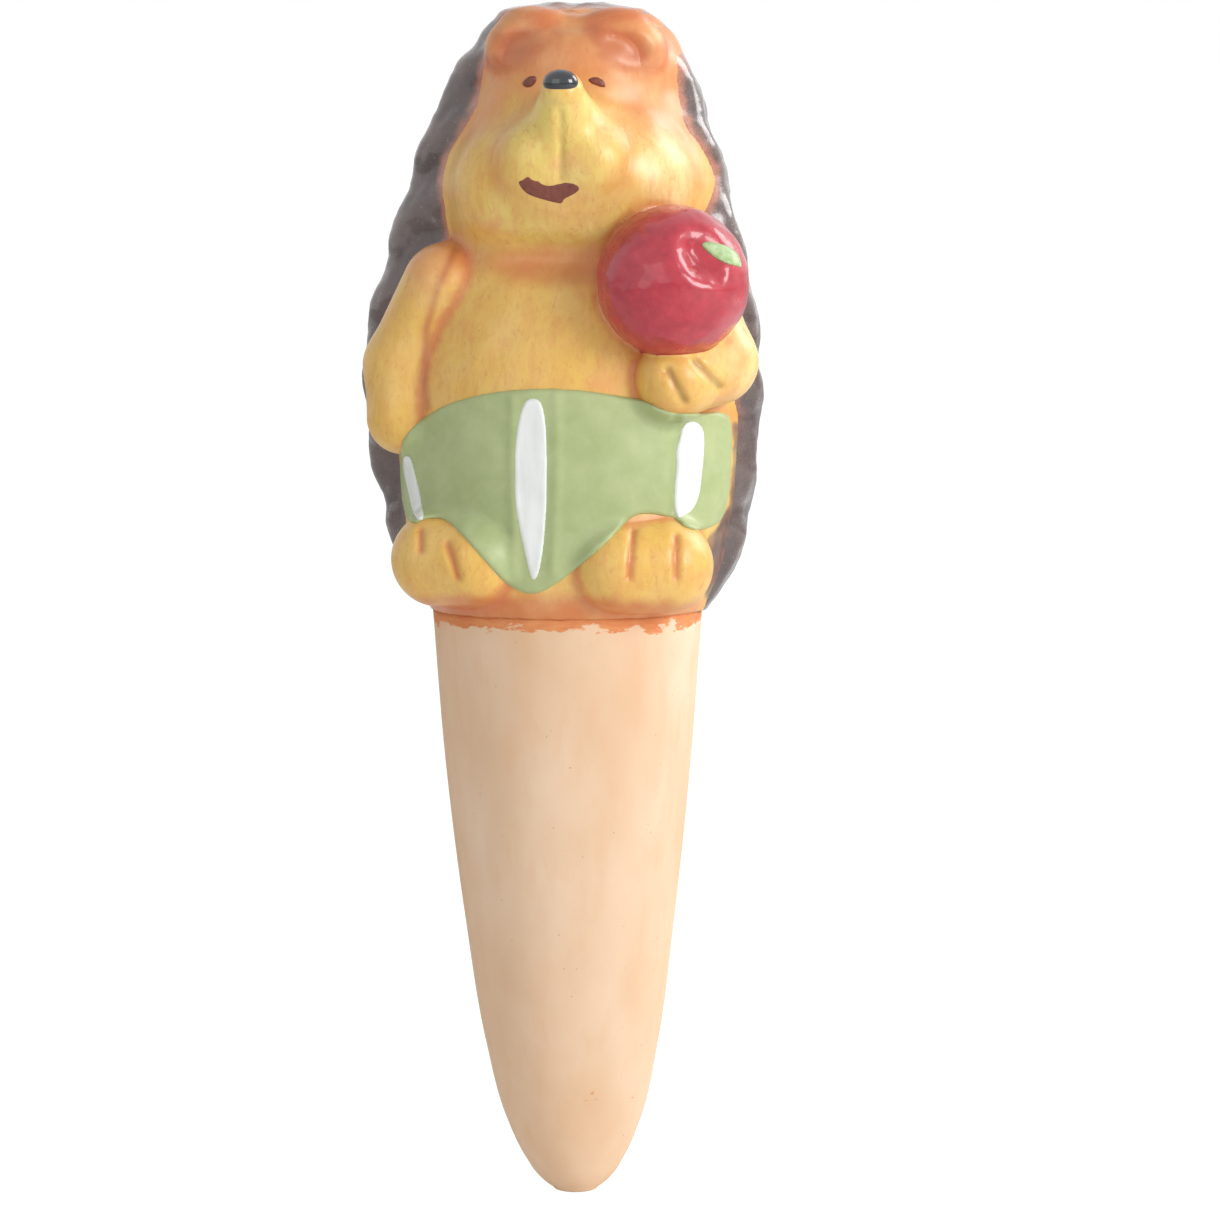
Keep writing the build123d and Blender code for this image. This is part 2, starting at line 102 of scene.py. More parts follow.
# Coat: share of the height, of the half width, of the back depth, of the lip depth, and shift
COAT_SHARES = [
    (0.0, 0.680, 0.785, 0.60, 0.0),
    (0.047, 0.795, 0.840, 0.80, 0.0),
    (0.112, 0.885, 0.890, 0.95, -0.005),
    (0.178, 0.935, 0.925, 1.0, -0.015),
    (0.280, 0.980, 0.970, 1.0, -0.028),
    (0.377, 1.0, 1.0, 1.0, -0.030),
    (0.474, 0.975, 1.0, 1.0, -0.028),
    (0.575, 0.910, 0.960, 1.0, -0.018),
    (0.673, 0.830, 0.885, 1.0, -0.005),
    (0.773, 0.740, 0.785, 1.0, 0.005),
    (0.860, 0.635, 0.655, 0.95, 0.020),
    (0.925, 0.530, 0.510, 0.85, 0.030),
    (0.968, 0.415, 0.370, 0.70, 0.032),
    (0.991, 0.280, 0.230, 0.45, 0.032),
    (1.0, 0.150, 0.120, 0.20, 0.032),
]

# Spike outline: share of the length below the soil line, share of the radius
SPIKE_OUTLINE_SHARES = [
    (0.0, 1.0),
    (0.26, 0.911),
    (0.53, 0.776),
    (0.74, 0.64),
    (0.87, 0.5),
    (0.938, 0.365),
    (0.971, 0.265),
    (0.988, 0.175),
    (0.997, 0.095),
    (1.0, 0.0),
]


def smooth_columns(rows, steps=600):
    """Columns of a table of shares, resampled on a smooth curve through its rows."""
    table = np.array(rows, float)
    up = table[:, 0]
    fine = np.linspace(up[0], up[-1], steps)
    place = np.clip(np.searchsorted(up, fine, side="right") - 1, 0, len(up) - 2)
    step = up[place + 1] - up[place]
    along = (fine - up[place]) / step
    columns = []
    for values in table[:, 1:].T:
        slope = np.gradient(values, up)
        low, high = values[place], values[place + 1]
        low_slope, high_slope = slope[place] * step, slope[place + 1] * step
        bend = 3 * (high - low) - 2 * low_slope - high_slope
        ease = low_slope + high_slope - 2 * (high - low)
        columns.append(low + along * (low_slope + along * (bend + along * ease)))
    return fine, columns


def stack_distance(p, height, widths, fronts, backs, shifts, up):
    """Signed distance, to first order, from a stack of ovals whose half axes follow the height."""
    x, y, z = p[:, 0], p[:, 1], p[:, 2]
    share = np.clip(z / height, 0, 1)

    def at(values):
        return np.interp(share, up, values)

    wide, shift = at(widths), at(shifts)
    depth = np.where(y < 0, at(fronts), at(backs))
    wide_slope = at(np.gradient(widths, up)) / height
    shift_slope = at(np.gradient(shifts, up)) / height
    front_slope = at(np.gradient(fronts, up))
    back_slope = at(np.gradient(backs, up))
    depth_slope = np.where(y < 0, front_slope, back_slope) / height
    side = x - shift
    ratio = np.sqrt((side / wide) ** 2 + (y / depth) ** 2) + 1e-6
    grad_x = side / wide**2 / ratio
    grad_y = y / depth**2 / ratio
    grad_z = side**2 * wide_slope / wide**3 + side * shift_slope / wide**2 + y**2 * depth_slope / depth**3
    grad_z = grad_z / ratio
    distance = (ratio - 1) / np.sqrt(grad_x**2 + grad_y**2 + grad_z**2)
    return np.maximum(distance, z - height)


BODY_UP, (BODY_WIDE, BODY_DEEP, BODY_SHIFT) = smooth_columns(BODY_SHARES)
COAT_UP, (COAT_WIDE, COAT_DEEP, COAT_LIP, COAT_SHIFT) = smooth_columns(COAT_SHARES)


def body_stack(p, inset=0.0):
    """The body and head, drawn in by an inset."""
    deep = BODY_DEEP * BODY_DEPTH - inset
    wide = BODY_WIDE * BODY_HALF_WIDTH - inset
    return stack_distance(p, HEAD_HEIGHT, wide, deep, deep, BODY_SHIFT * BODY_HALF_WIDTH, BODY_UP)


def coat_stack(p):
    """The coat without its scoops."""
    wide = COAT_WIDE * COAT_HALF_WIDTH
    lip = COAT_LIP * COAT_LIP_DEPTH
    back = COAT_DEEP * COAT_BACK_DEPTH
    return stack_distance(p, COAT_HEIGHT, wide, lip, back, COAT_SHIFT * COAT_HALF_WIDTH, COAT_UP)


def lengths(rows):
    return np.linalg.norm(rows, axis=1)


def direction(vector):
    return vector / np.linalg.norm(vector)


def skin(up, across, out=0.0):
    """A point out from the body's front skin at a share of its height and of its half width."""
    wide = np.interp(up, BODY_UP, BODY_WIDE) * BODY_HALF_WIDTH
    deep = np.interp(up, BODY_UP, BODY_DEEP) * BODY_DEPTH
    shift = np.interp(up, BODY_UP, BODY_SHIFT) * BODY_HALF_WIDTH
    fall = math.sqrt(1 - across * across)
    facing = direction(np.array([across / wide, -fall / deep, 0.0]))
    return np.array([shift + wide * across, -deep * fall, HEAD_HEIGHT * up]) + facing * out


# Soft shapes, as signed distances in millimetres, below zero inside


def smooth_union(a, b, blend):
    mix = np.clip(0.5 + 0.5 * (b - a) / blend, 0, 1)
    return b + (a - b) * mix - blend * mix * (1 - mix)


def smooth_cut(a, b, blend):
    """a with b taken away, the edge rounded by a blend."""
    return -smooth_union(-a, b, blend)


def ball(p, centre, radius):
    return lengths(p - centre) - radius


def egg(p, centre, radii, axes=None):
    """An ellipsoid, its axes turned to the rows of a rotation when given."""
    local = p - centre
    if axes is not None:
        local = local @ np.array(axes).T
    near = lengths(local / radii)
    far = lengths(local / np.array(radii) ** 2) + 1e-9
    return near * (near - 1) / far


def limb(p, start, end, start_radius, end_radius):
    """A tapering round bar between two balls."""
    bar = np.array(end) - np.array(start)
    along = np.clip((p - start) @ bar / (bar @ bar), 0, 1)
    radius = start_radius + (end_radius - start_radius) * along
    return lengths(p - start - along[:, None] * bar) - radius


def ramp(value, low, high):
    """Smooth step from 0 at low to 1 at high."""
    t = np.clip((value - low) / (high - low), 0, 1)
    return t * t * (3 - 2 * t)


WAVE_TURNS = [
    (0.81, 0.31, 0.50), (-0.42, 0.88, 0.21), (0.33, -0.27, 0.90), (0.66, 0.62, -0.43), (-0.58, 0.24, 0.78),
]


def waver(p, length, phase=0.0):
    """A soft unevenness between about -1 and 1, with waves of a length."""
    total = np.zeros(len(p))
    for order, turn in enumerate(WAVE_TURNS):
        pull = 2 * math.pi / length * (1 + 0.17 * order)
        along = p @ np.array(turn) * pull + phase + 2.1 * order
        across = p @ np.array(WAVE_TURNS[order - 2]) * pull * 0.7 + 1.3 * phase
        total += np.sin(along + 1.2 * np.sin(across))
    return total / len(WAVE_TURNS)


# Camera: a long lens a little to the figure's own left and a little above the soil line
PHOTO_SIZE = 1220
PHOTO_AXIS_X = 567.5
PHOTO_SOIL_Y = 608.0
MM_PER_PIXEL = 0.159
CAMERA_TURN = 10.0
CAMERA_RISE = 5.0
CAMERA_DISTANCE = 2000.0
CAMERA_CLIP = (0.1, 20.0)
SENSOR_WIDTH = 36.0

TURN, RISE = math.radians(CAMERA_TURN), math.radians(CAMERA_RISE)
TO_CAMERA = np.array([math.sin(TURN) * math.cos(RISE), -math.cos(TURN) * math.cos(RISE), math.sin(RISE)])
CAMERA_RIGHT = np.array([math.cos(TURN), math.sin(TURN), 0.0])
CAMERA_UP = np.cross(TO_CAMERA, CAMERA_RIGHT)
CAMERA_AIM = (
    CAMERA_RIGHT * (PHOTO_SIZE / 2 - PHOTO_AXIS_X) * MM_PER_PIXEL
    + CAMERA_UP * (PHOTO_SOIL_Y - PHOTO_SIZE / 2) * MM_PER_PIXEL
)
CAMERA_PLACE = CAMERA_AIM + TO_CAMERA * CAMERA_DISTANCE


def photo_pixels(p):
    """Where points of the frame come out in the photograph."""
    from_camera = p - CAMERA_PLACE
    away = -(from_camera @ TO_CAMERA)
    scale = CAMERA_DISTANCE / away / MM_PER_PIXEL
    right = PHOTO_SIZE / 2 + from_camera @ CAMERA_RIGHT * scale
    down = PHOTO_SIZE / 2 - from_camera @ CAMERA_UP * scale
    return np.stack([right, down], axis=1)


def smooth_ring(points, rounds=2):
    """A closed outline with its corners cut into a smooth curve."""
    ring = np.array(points, float)
    for _ in range(rounds):
        after = np.roll(ring, -1, axis=0)
        ring = np.stack([0.75 * ring + 0.25 * after, 0.25 * ring + 0.75 * after], axis=1).reshape(-1, 2)
    return ring


def stroke_distance(pixels, stroke):
    """Distance in millimetres from a line of straight stretches in the photograph."""
    nearest = np.full(len(pixels), np.inf)
    stroke = np.array(stroke, float)
    for start, end in zip(stroke, stroke[1:]):
        edge = end - start
        along = np.clip((pixels - start) @ edge / (edge @ edge + 1e-12), 0, 1)
        nearest = np.minimum(nearest, lengths(pixels - start - along[:, None] * edge))
    return nearest * MM_PER_PIXEL


def pressed(p, strokes, width):
    """How strongly each point lies on one of some strokes: 1 on a stroke, falling off over a width."""
    pixels = photo_pixels(p)
    nearest = np.min([stroke_distance(pixels, stroke) for stroke in strokes], axis=0)
    return np.exp(-((nearest / width) ** 2)) * (p[:, 1] < 0)


def outline_distance(pixels, ring):
    """Signed distance in millimetres from an outline in the photograph, below zero inside."""
    nearest = stroke_distance(pixels, np.concatenate([ring, ring[:1]]))
    inside = np.zeros(len(pixels), bool)
    for start, end in zip(ring, np.roll(ring, -1, axis=0)):
        edge = end - start
        crosses = (start[1] > pixels[:, 1]) != (end[1] > pixels[:, 1])
        rise = np.where(abs(edge[1]) < 1e-9, 1e-9, edge[1])
        at = start[0] + (pixels[:, 1] - start[1]) * edge[0] / rise
        inside ^= crosses & (pixels[:, 0] < at)
    return np.where(inside, -nearest, nearest)


# Outlines of the painted shapes, as pixel points of the photograph
TROUSERS_OUTLINE = [
    (400, 456), (402, 440), (412, 427), (436, 408), (471, 396), (507, 390), (546, 388), (583, 390),
    (616, 395), (642, 399), (659, 408), (675, 413), (700, 413), (722, 411), (732, 418), (732, 450),
    (730, 490), (723, 522), (701, 532), (685, 528), (676, 520), (655, 514), (634, 515), (624, 525),
    (603, 547), (580, 566), (558, 584), (534, 596), (515, 590), (501, 580), (468, 542), (447, 519),
    (428, 518), (411, 526), (403, 510), (400, 480),
]
CENTRE_STRIPE_OUTLINE = [
    (524, 404), (532, 399), (540, 402), (544, 420), (545.5, 450), (545.5, 496), (543, 540), (538, 572),
    (533, 581), (528, 560), (521, 530), (516, 500), (516, 455), (518, 430),
]
LEFT_STRIPE_OUTLINE = [
    (404, 457), (410, 457), (413, 470), (418, 490), (423, 515), (420, 521), (414, 512), (410, 492),
    (405, 472),
]
RIGHT_STRIPE_OUTLINE = [
    (684, 425), (694, 422), (702, 428), (703, 445), (701, 470), (698, 496), (691, 510), (684, 514),
    (676, 518), (675, 488), (678, 468), (677, 450), (681, 438),
]
MOUTH_OUTLINE = [
    (517, 181), (523, 180), (528, 175.5), (532, 180), (539, 181), (542, 184), (549, 186), (558, 184),
    (569, 182), (580, 186), (579, 191), (571, 196), (564, 199), (562, 204), (556, 203), (544, 200),
    (531, 196), (523, 191),
]
RIGHT_EYE_OUTLINE = [(521, 84), (526, 78), (532, 75), (537, 77), (536, 82), (532, 87), (526, 88)]
LEFT_EYE_OUTLINE = [(587, 80), (592, 77), (599, 77), (605, 82), (606, 88), (600, 87), (592, 84)]
LEAF_OUTLINE = [
    (700, 244), (708, 241), (718, 243), (728, 246), (737, 252), (741, 261), (742, 268), (735, 266),
    (727, 264), (716, 259), (706, 251),
]

# Strokes pressed into the figure or washed onto it, the washes mostly painted shade and shadow, as pixel
# points of the photograph
FINGER_STROKES = [[(668, 371), (684, 400)], [(695, 362), (719, 386)]]
TOE_STROKES = {
    "right_foot": [[(421, 532), (421, 550)], [(448, 544), (453, 560), (458, 577)]],
    "left_foot": [[(633, 532), (629, 577)], [(676, 537), (676, 577)]],
}
LIP_STROKE = [(560, 112), (561, 150), (560, 178)]
# Painted shadow: strokes under the folded ear lobes
EAR_SHADOW_STROKES = [
    [(497, 38), (515, 52), (540, 50), (556, 34)],
    [(590, 30), (610, 48), (640, 54), (666, 46)],
]
# Painted shade along the crease inside the hanging arm
ARM_CREASE_SHADE_STROKE = [(455, 250), (437, 290), (426, 330), (424, 380), (428, 407)]
# Painted shade: deep orange strokes under the chin and under the holding paw
CHIN_AND_PAW_SHADE_STROKES = [[(470, 256), (520, 266), (580, 268), (625, 258)], [(640, 412), (700, 420), (752, 415)]]
APPLE_STROKE = [(690, 254), (699, 267), (716, 276)]
SIDE_PAINT_OUTLINES = [
    [(734, 424), (733, 470), (730, 505), (719, 526), (709, 540), (706, 598), (790, 600), (790, 424)],
    [(399, 436), (399, 480), (404, 520), (404, 560), (412, 596), (330, 600), (330, 436)],
]
PLACKET_STROKES = [[(513, 398), (512, 470), (515, 575)], [(556, 396), (557, 470), (553, 570)]]
SEAM_STROKE = [(676, 418), (673, 470), (672, 520)]

# Places on the body, by share of its height, share of its half width and millimetres out
MUZZLE_ROOT = skin(0.745, 0.03, -6.2)
MUZZLE_TIP = skin(0.875, 0.035, 7.6)
NOSE_PLACE = skin(0.891, 0.03, 9.6)
EAR_PLACES = {"left_ear": skin(0.950, 0.60, -1.6), "right_ear": skin(0.950, -0.60, -1.6)}
SHOULDER = skin(0.545, -0.86, -0.9)
FOREARM = skin(0.410, -0.93, 0.2)
WRIST = skin(0.325, -0.90, 0.6)
ELBOW = skin(0.425, 0.90, 1.7)
HOLDING_PAW = skin(0.400, 0.70, 2.3)
UPPER_ARM = skin(0.50, 0.93, 0.4)
APPLE_LOW, APPLE_HIGH = node_box("apple")
APPLE_RADIUS = (APPLE_HIGH[2] - APPLE_LOW[2]) / 2
APPLE_CENTRE = np.array([APPLE_HIGH[0], APPLE_LOW[1], APPLE_LOW[2]]) + APPLE_RADIUS * np.array([-1, 1, 1])
APPLE_STEM_SHARES = np.array([0.54, -0.72, 0.43])
FOOT_PLACES = {"left_foot": skin(0.088, 0.62, -1.2), "right_foot": skin(0.094, -0.62, -1.2)}
FOOT_SPLAY = math.radians(22.0)

# Scoops pressed into the coat between diagonal ridges
SCOOP_WIDTH = 20.0
SCOOP_HEIGHT = 12.6
SCOOP_DEPTH = 1.05
SCOOP_AXIS = (1.0, -6.0)
SCOOP_GIRTH_SHARE = 0.82
FALLING_RISE = 0.7
FALLING_RUN = 1.3
FALLING_START = 0.2
FALLING_SHARE = 0.6
# Where the scoops fade: out from the hole's edge, up from the foot and down from the top
RIM_CLEAR = (1.0, 7.0)
LOW_CLEAR = (1.5, 10.0)
HIGH_CLEAR = (9, 2)
COAT_GRAIN = 0.14


def scoops(p):
    """Depth pressed into the coat at each point: 0 on a ridge, 1 in the middle of a scoop."""
    turn = np.abs(np.arctan2(p[:, 0] - SCOOP_AXIS[0], p[:, 1] - SCOOP_AXIS[1]))
    around = turn * COAT_HALF_WIDTH * SCOOP_GIRTH_SHARE
    across = (around + 1.6 * waver(p, 24.0, 2.2)) / SCOOP_WIDTH
    rise = (p[:, 2] + 1.5 * waver(p, 30.0, 0.4)) / SCOOP_HEIGHT
    rising = 0.5 + 0.5 * np.cos(2 * math.pi * (rise - across))
    falling_turns = FALLING_RISE * rise + FALLING_RUN * across + FALLING_START
    falling = 0.5 + 0.5 * np.cos(2 * math.pi * falling_turns)
    return (1 - rising) * (1 - FALLING_SHARE * falling)


def fill_hole(p):
    """The round filling hole through the back, and each point's distance from its axis."""
    tilt = math.radians(FILL_HOLE_TILT)
    axis = np.array([0, math.cos(tilt), math.sin(tilt)])
    depth = np.interp(FILL_HOLE_HEIGHT / COAT_HEIGHT, COAT_UP, COAT_DEEP) * COAT_BACK_DEPTH
    local = p - np.array([0, depth, FILL_HOLE_HEIGHT])
    along = local @ axis
    radius = lengths(local - along[:, None] * axis)
    return np.maximum(radius - FILL_HOLE_RADIUS, -along - 3 * FIGURE_WALL), radius


def coat_form(p):
    """The coat, its scoops fading round the filling hole, at the foot and towards the top."""
    _, from_hole = fill_hole(p)
    near_rim = ramp(from_hole, FILL_HOLE_RADIUS + RIM_CLEAR[0], FILL_HOLE_RADIUS + RIM_CLEAR[1])
    low_end = ramp(p[:, 2], *LOW_CLEAR)
    high_end = 1 - ramp(p[:, 2], COAT_HEIGHT - HIGH_CLEAR[0], COAT_HEIGHT - HIGH_CLEAR[1])
    press = SCOOP_DEPTH * scoops(p) * near_rim * low_end * (0.35 + 0.65 * high_end)
    return coat_stack(p) + press + COAT_GRAIN * (1 + waver(p, 4.5, 1.7))


# Cheeks, jaw and brow, then the hollow of the neck: place on the body, and radii
HEAD_SWELLINGS = [
    ((0.715, -0.52, -5.4), (8.2, 7.4, 8.6)),
    ((0.725, 0.58, -5.6), (8.4, 7.4, 9.0)),
    ((0.685, 0.04, -7.2), (13.5, 8.0, 7.2)),
    ((0.925, 0.0, -5.0), (9.5, 6.0, 5.0)),
]
SWELLING_BLEND = 4.0
NECK_HOLLOW = ((0.598, -0.12, 3.2), (19.0, 3.6, 2.3))
NECK_BLEND = 3.0
SKIN_RELIEF = 0.12
SKIN_WAVE = 9.0


def head_form(p):
    """Body and head with the cheeks, jaw and brow."""
    form = body_stack(p)
    for place, radii in HEAD_SWELLINGS:
        form = smooth_union(form, egg(p, skin(*place), radii), SWELLING_BLEND)
    place, radii = NECK_HOLLOW
    form = smooth_cut(form, egg(p, skin(*place), radii), NECK_BLEND)
    return form + SKIN_RELIEF * waver(p, SKIN_WAVE)


MUZZLE_RADIUS = 9.6
MUZZLE_TIP_RADIUS = 3.4
PUFF_OFFSETS = [(-4.6, -4.6, 1.2), (4.6, -4.4, 1.4)]
PUFF_RADII = (5.6, 5.6, 6.4)
PUFF_BLEND = 2.4
LIP_DEPTH = 0.5
LIP_WIDTH = 0.7


def muzzle_form(p):
    """The snout: a cone with a puff on each side of the line down to the mouth."""
    form = limb(p, MUZZLE_ROOT, MUZZLE_TIP, MUZZLE_RADIUS, MUZZLE_TIP_RADIUS)
    for offset in PUFF_OFFSETS:
        form = smooth_union(form, egg(p, MUZZLE_ROOT + offset, PUFF_RADII), PUFF_BLEND)
    return form + LIP_DEPTH * pressed(p, [LIP_STROKE], LIP_WIDTH)


EAR_LEAN = math.radians(16.0)
EAR_TURN_SHARE = 0.10
EAR_RADII = (6.5, 4.2, 4.9)
EAR_HOLLOW_RADII = (4.4, 2.6, 2.8)
EAR_HOLLOW_OUT = 4.4
EAR_HOLLOW_DROP = 0.9
EAR_BLEND = 1.6


def ear_eggs(p, name):
    """An ear's lobe, and the hollow that is pressed into its front."""
    place = EAR_PLACES[name]
    side = 1.0 if name == "left_ear" else -1.0
    lean = EAR_LEAN * side
    across = direction(np.array([math.cos(lean), EAR_TURN_SHARE * side, -math.sin(lean)]))
    out = direction(np.cross(across, (0, 0, 1.0)))
    rise = np.cross(out, across)
    axes = (across, -out, rise)
    hollow_place = place + out * EAR_HOLLOW_OUT - rise * EAR_HOLLOW_DROP
    return egg(p, place, EAR_RADII, axes), egg(p, hollow_place, EAR_HOLLOW_RADII, axes)


def ear_form(p, name):
    outer, hollow = ear_eggs(p, name)
    return smooth_cut(outer, hollow, EAR_BLEND)


# Arms: radii at the ends of the upper and of the lower limb
HANGING_RADII = ((6.8, 6.8), (6.7, 5.9))
HOLDING_RADII = ((5.6, 6.6), (6.6, 6.3))
ELBOW_BLEND = 1.5
FINGER_DEPTH = 0.75
FINGER_WIDTH = 0.75


def arm(p, joints, radii):
    """Two limbs through three joints."""
    upper = limb(p, joints[0], joints[1], *radii[0])
    lower = limb(p, joints[1], joints[2], *radii[1])
    return smooth_union(upper, lower, ELBOW_BLEND)


def hanging_arm_form(p):
    return arm(p, (SHOULDER, FOREARM, WRIST), HANGING_RADII)


def holding_arm_form(p):
    fingers = FINGER_DEPTH * pressed(p, FINGER_STROKES, FINGER_WIDTH)
    return arm(p, (UPPER_ARM, ELBOW, HOLDING_PAW), HOLDING_RADII) + fingers


DIMPLE_RADIUS = 4.9
DIMPLE_RISE = 3.0
DIMPLE_BLEND = 2.2
APPLE_DENT_DEPTH = 0.6
APPLE_DENT_WIDTH = 1.5
APPLE_LUMPS = (0.2, 8.0, 0.9)
APPLE_GRAIN = (0.05, 2.6, 0.2)


def apple_form(p):
    """A slightly lumpy apple with a soft dimple at its stem and a dent beside the leaf."""
    stem = direction(APPLE_STEM_SHARES)
    form = ball(p, APPLE_CENTRE, APPLE_RADIUS)
    dimple = ball(p, APPLE_CENTRE + stem * (APPLE_RADIUS + DIMPLE_RISE), DIMPLE_RADIUS)
    dent = APPLE_DENT_DEPTH * pressed(p, [APPLE_STROKE], APPLE_DENT_WIDTH)
    form = smooth_cut(form, dimple, DIMPLE_BLEND) + dent
    height, length, phase = APPLE_LUMPS
    form = form + height * (0.6 + waver(p, length, phase))
    height, length, phase = APPLE_GRAIN
    return form + height * waver(p, length, phase)


FOOT_HALF = 3.6
FOOT_RADII = (7.4, 7.6)
TOE_DEPTH = 0.55
TOE_WIDTH = 0.6


def foot_form(p, name):
    """A plump foot turned outwards, with lines pressed between its toes."""
    side = 1.0 if name == "left_foot" else -1.0
    place = FOOT_PLACES[name]
    along = np.array([math.cos(FOOT_SPLAY), math.sin(FOOT_SPLAY) * side, 0.0]) * side
    form = limb(p, place - along * FOOT_HALF, place + along * FOOT_HALF, *FOOT_RADII)
    return form + TOE_DEPTH * pressed(p, TOE_STROKES[name], TOE_WIDTH)


SPIKE_UP, (SPIKE_WIDE,) = smooth_columns(SPIKE_OUTLINE_SHARES)

# Each form's maker, and how softly it runs into the forms before it
FORMS = {
    "front_shell": (head_form, None),
    "quill_coat": (coat_form, 1.6),
    "muzzle": (muzzle_form, 3.6),
    "left_ear": (lambda p: ear_form(p, "left_ear"), 2.2),
    "right_ear": (lambda p: ear_form(p, "right_ear"), 2.2),
    "hanging_arm": (hanging_arm_form, 1.8),
    "holding_arm": (holding_arm_form, 1.8),
    "left_foot": (lambda p: foot_form(p, "left_foot"), 1.6),
    "right_foot": (lambda p: foot_form(p, "right_foot"), 1.6),
    "apple": (apple_form, 0.6),
}


def all_forms(p):
    return {name: make(p) for name, (make, _) in FORMS.items()}


def joined(forms):
    """The whole figure's surface, each form run into the ones before it."""
    total = forms["front_shell"]
    for name, (_, blend) in FORMS.items():
        if blend:
            total = smooth_union(total, forms[name], blend)
    return total


def territory(forms, name):
    """Below zero where a form, rather than any other, makes the surface."""
    others = [value for other, value in forms.items() if other != name]
    return (forms[name] - np.min(others, axis=0)) / 2


def chamber(p):
    """The water space inside the figure."""
    return np.maximum(body_stack(p, FIGURE_WALL), FIGURE_WALL - p[:, 2])


# Where two pieces meet, each dips this far under the other, over this margin
TUCK_DEPTH = 0.35
TUCK_MARGIN = 0.7
SPRIG_DEPTH = 2.4
TROUSERS_THICKNESS = 0.5
TROUSERS_EDGE = 0.6
TROUSERS_RING = smooth_ring(TROUSERS_OUTLINE)
CLOTH_TUCK_REACH = (0.3, 1.2)
UNDER_DEPTH = 3.0
HOLE_BLEND = 1.2


def cloth_tuck(p):
    """How far the clay dips under the middle of the trousers."""
    tuck = np.zeros(len(p))
    near = (p[:, 1] < 0) & (p[:, 2] > 0) & (p[:, 2] < HEAD_HEIGHT / 2)
    inside = outline_distance(photo_pixels(p[near]), TROUSERS_RING)
    tuck[near] = TUCK_DEPTH * ramp(-inside, *CLOTH_TUCK_REACH)
    return tuck


def sprig_level(name):
    """A piece luted onto the figure: its own share of the surface, down to a little under the skin."""

    def level(p):
        forms = all_forms(p)
        own = territory(forms, name)
        surface = joined(forms) + TUCK_DEPTH * np.clip(own / TUCK_MARGIN, 0, 1) + cloth_tuck(p)
        base = np.minimum(forms["front_shell"], forms["quill_coat"])
        return np.maximum.reduce([surface, own - TUCK_MARGIN, -(base + SPRIG_DEPTH), -p[:, 2]])

    return level


def half_shell_level(name):
    """The front shell or the coat: hollow, and carried on under the pieces luted to it."""

    def level(p):
        forms = all_forms(p)
        other = "quill_coat" if name == "front_shell" else "front_shell"
        halves = (forms[name] - forms[other]) / 2
        own = territory(forms, name)
        past = np.clip(own / TUCK_MARGIN, 0, 1)
        surface = joined(forms) + TUCK_DEPTH * past + cloth_tuck(p)
        under = forms[name] - UNDER_DEPTH * (1 - past) + cloth_tuck(p)
        outer = np.maximum(surface, under)
        hole, _ = fill_hole(p)
        hollow = np.maximum.reduce([outer, -chamber(p), halves - TUCK_MARGIN, -p[:, 2]])
        return smooth_cut(hollow, hole, HOLE_BLEND)

    return level


# Sculpting: a level's zero surface as a closed quad mesh
BLOCK = 6
NEAR_SHARE = 1.6
NEAR_EXTRA = 0.6
SAMPLE_CHUNK = 400000
UNIT = np.eye(3, dtype=int)


def sampled(level, low, high, step):
    """The level at the points of a grid, worked out in full only in blocks near its surface."""
    blocks = np.ceil((high - low) / step / BLOCK).astype(int)
    size = blocks * BLOCK + 1
    corner = np.argwhere(np.ones(blocks))
    centres = low + step * (corner + 0.5) * BLOCK
    rough = level(centres)
    reach = step * BLOCK * math.sqrt(3) / 2
    near = np.abs(rough) < NEAR_SHARE * reach + NEAR_EXTRA
    values = np.repeat(np.repeat(np.repeat(rough.reshape(blocks), BLOCK, 0), BLOCK, 1), BLOCK, 2)
    values = np.pad(values, ((0, 1), (0, 1), (0, 1)), mode="edge")
    offsets = np.argwhere(np.ones([BLOCK + 1] * 3))
    wanted = np.zeros(size, bool)
    for offset in offsets:
        at = corner[near] * BLOCK + offset
        wanted[tuple(at.T)] = True
    index = np.argwhere(wanted)
    found = np.empty(len(index))
    for start in range(0, len(index), SAMPLE_CHUNK):
        part = index[start : start + SAMPLE_CHUNK]
        found[start : start + SAMPLE_CHUNK] = level(low + step * part)
    values[tuple(index.T)] = found
    return values


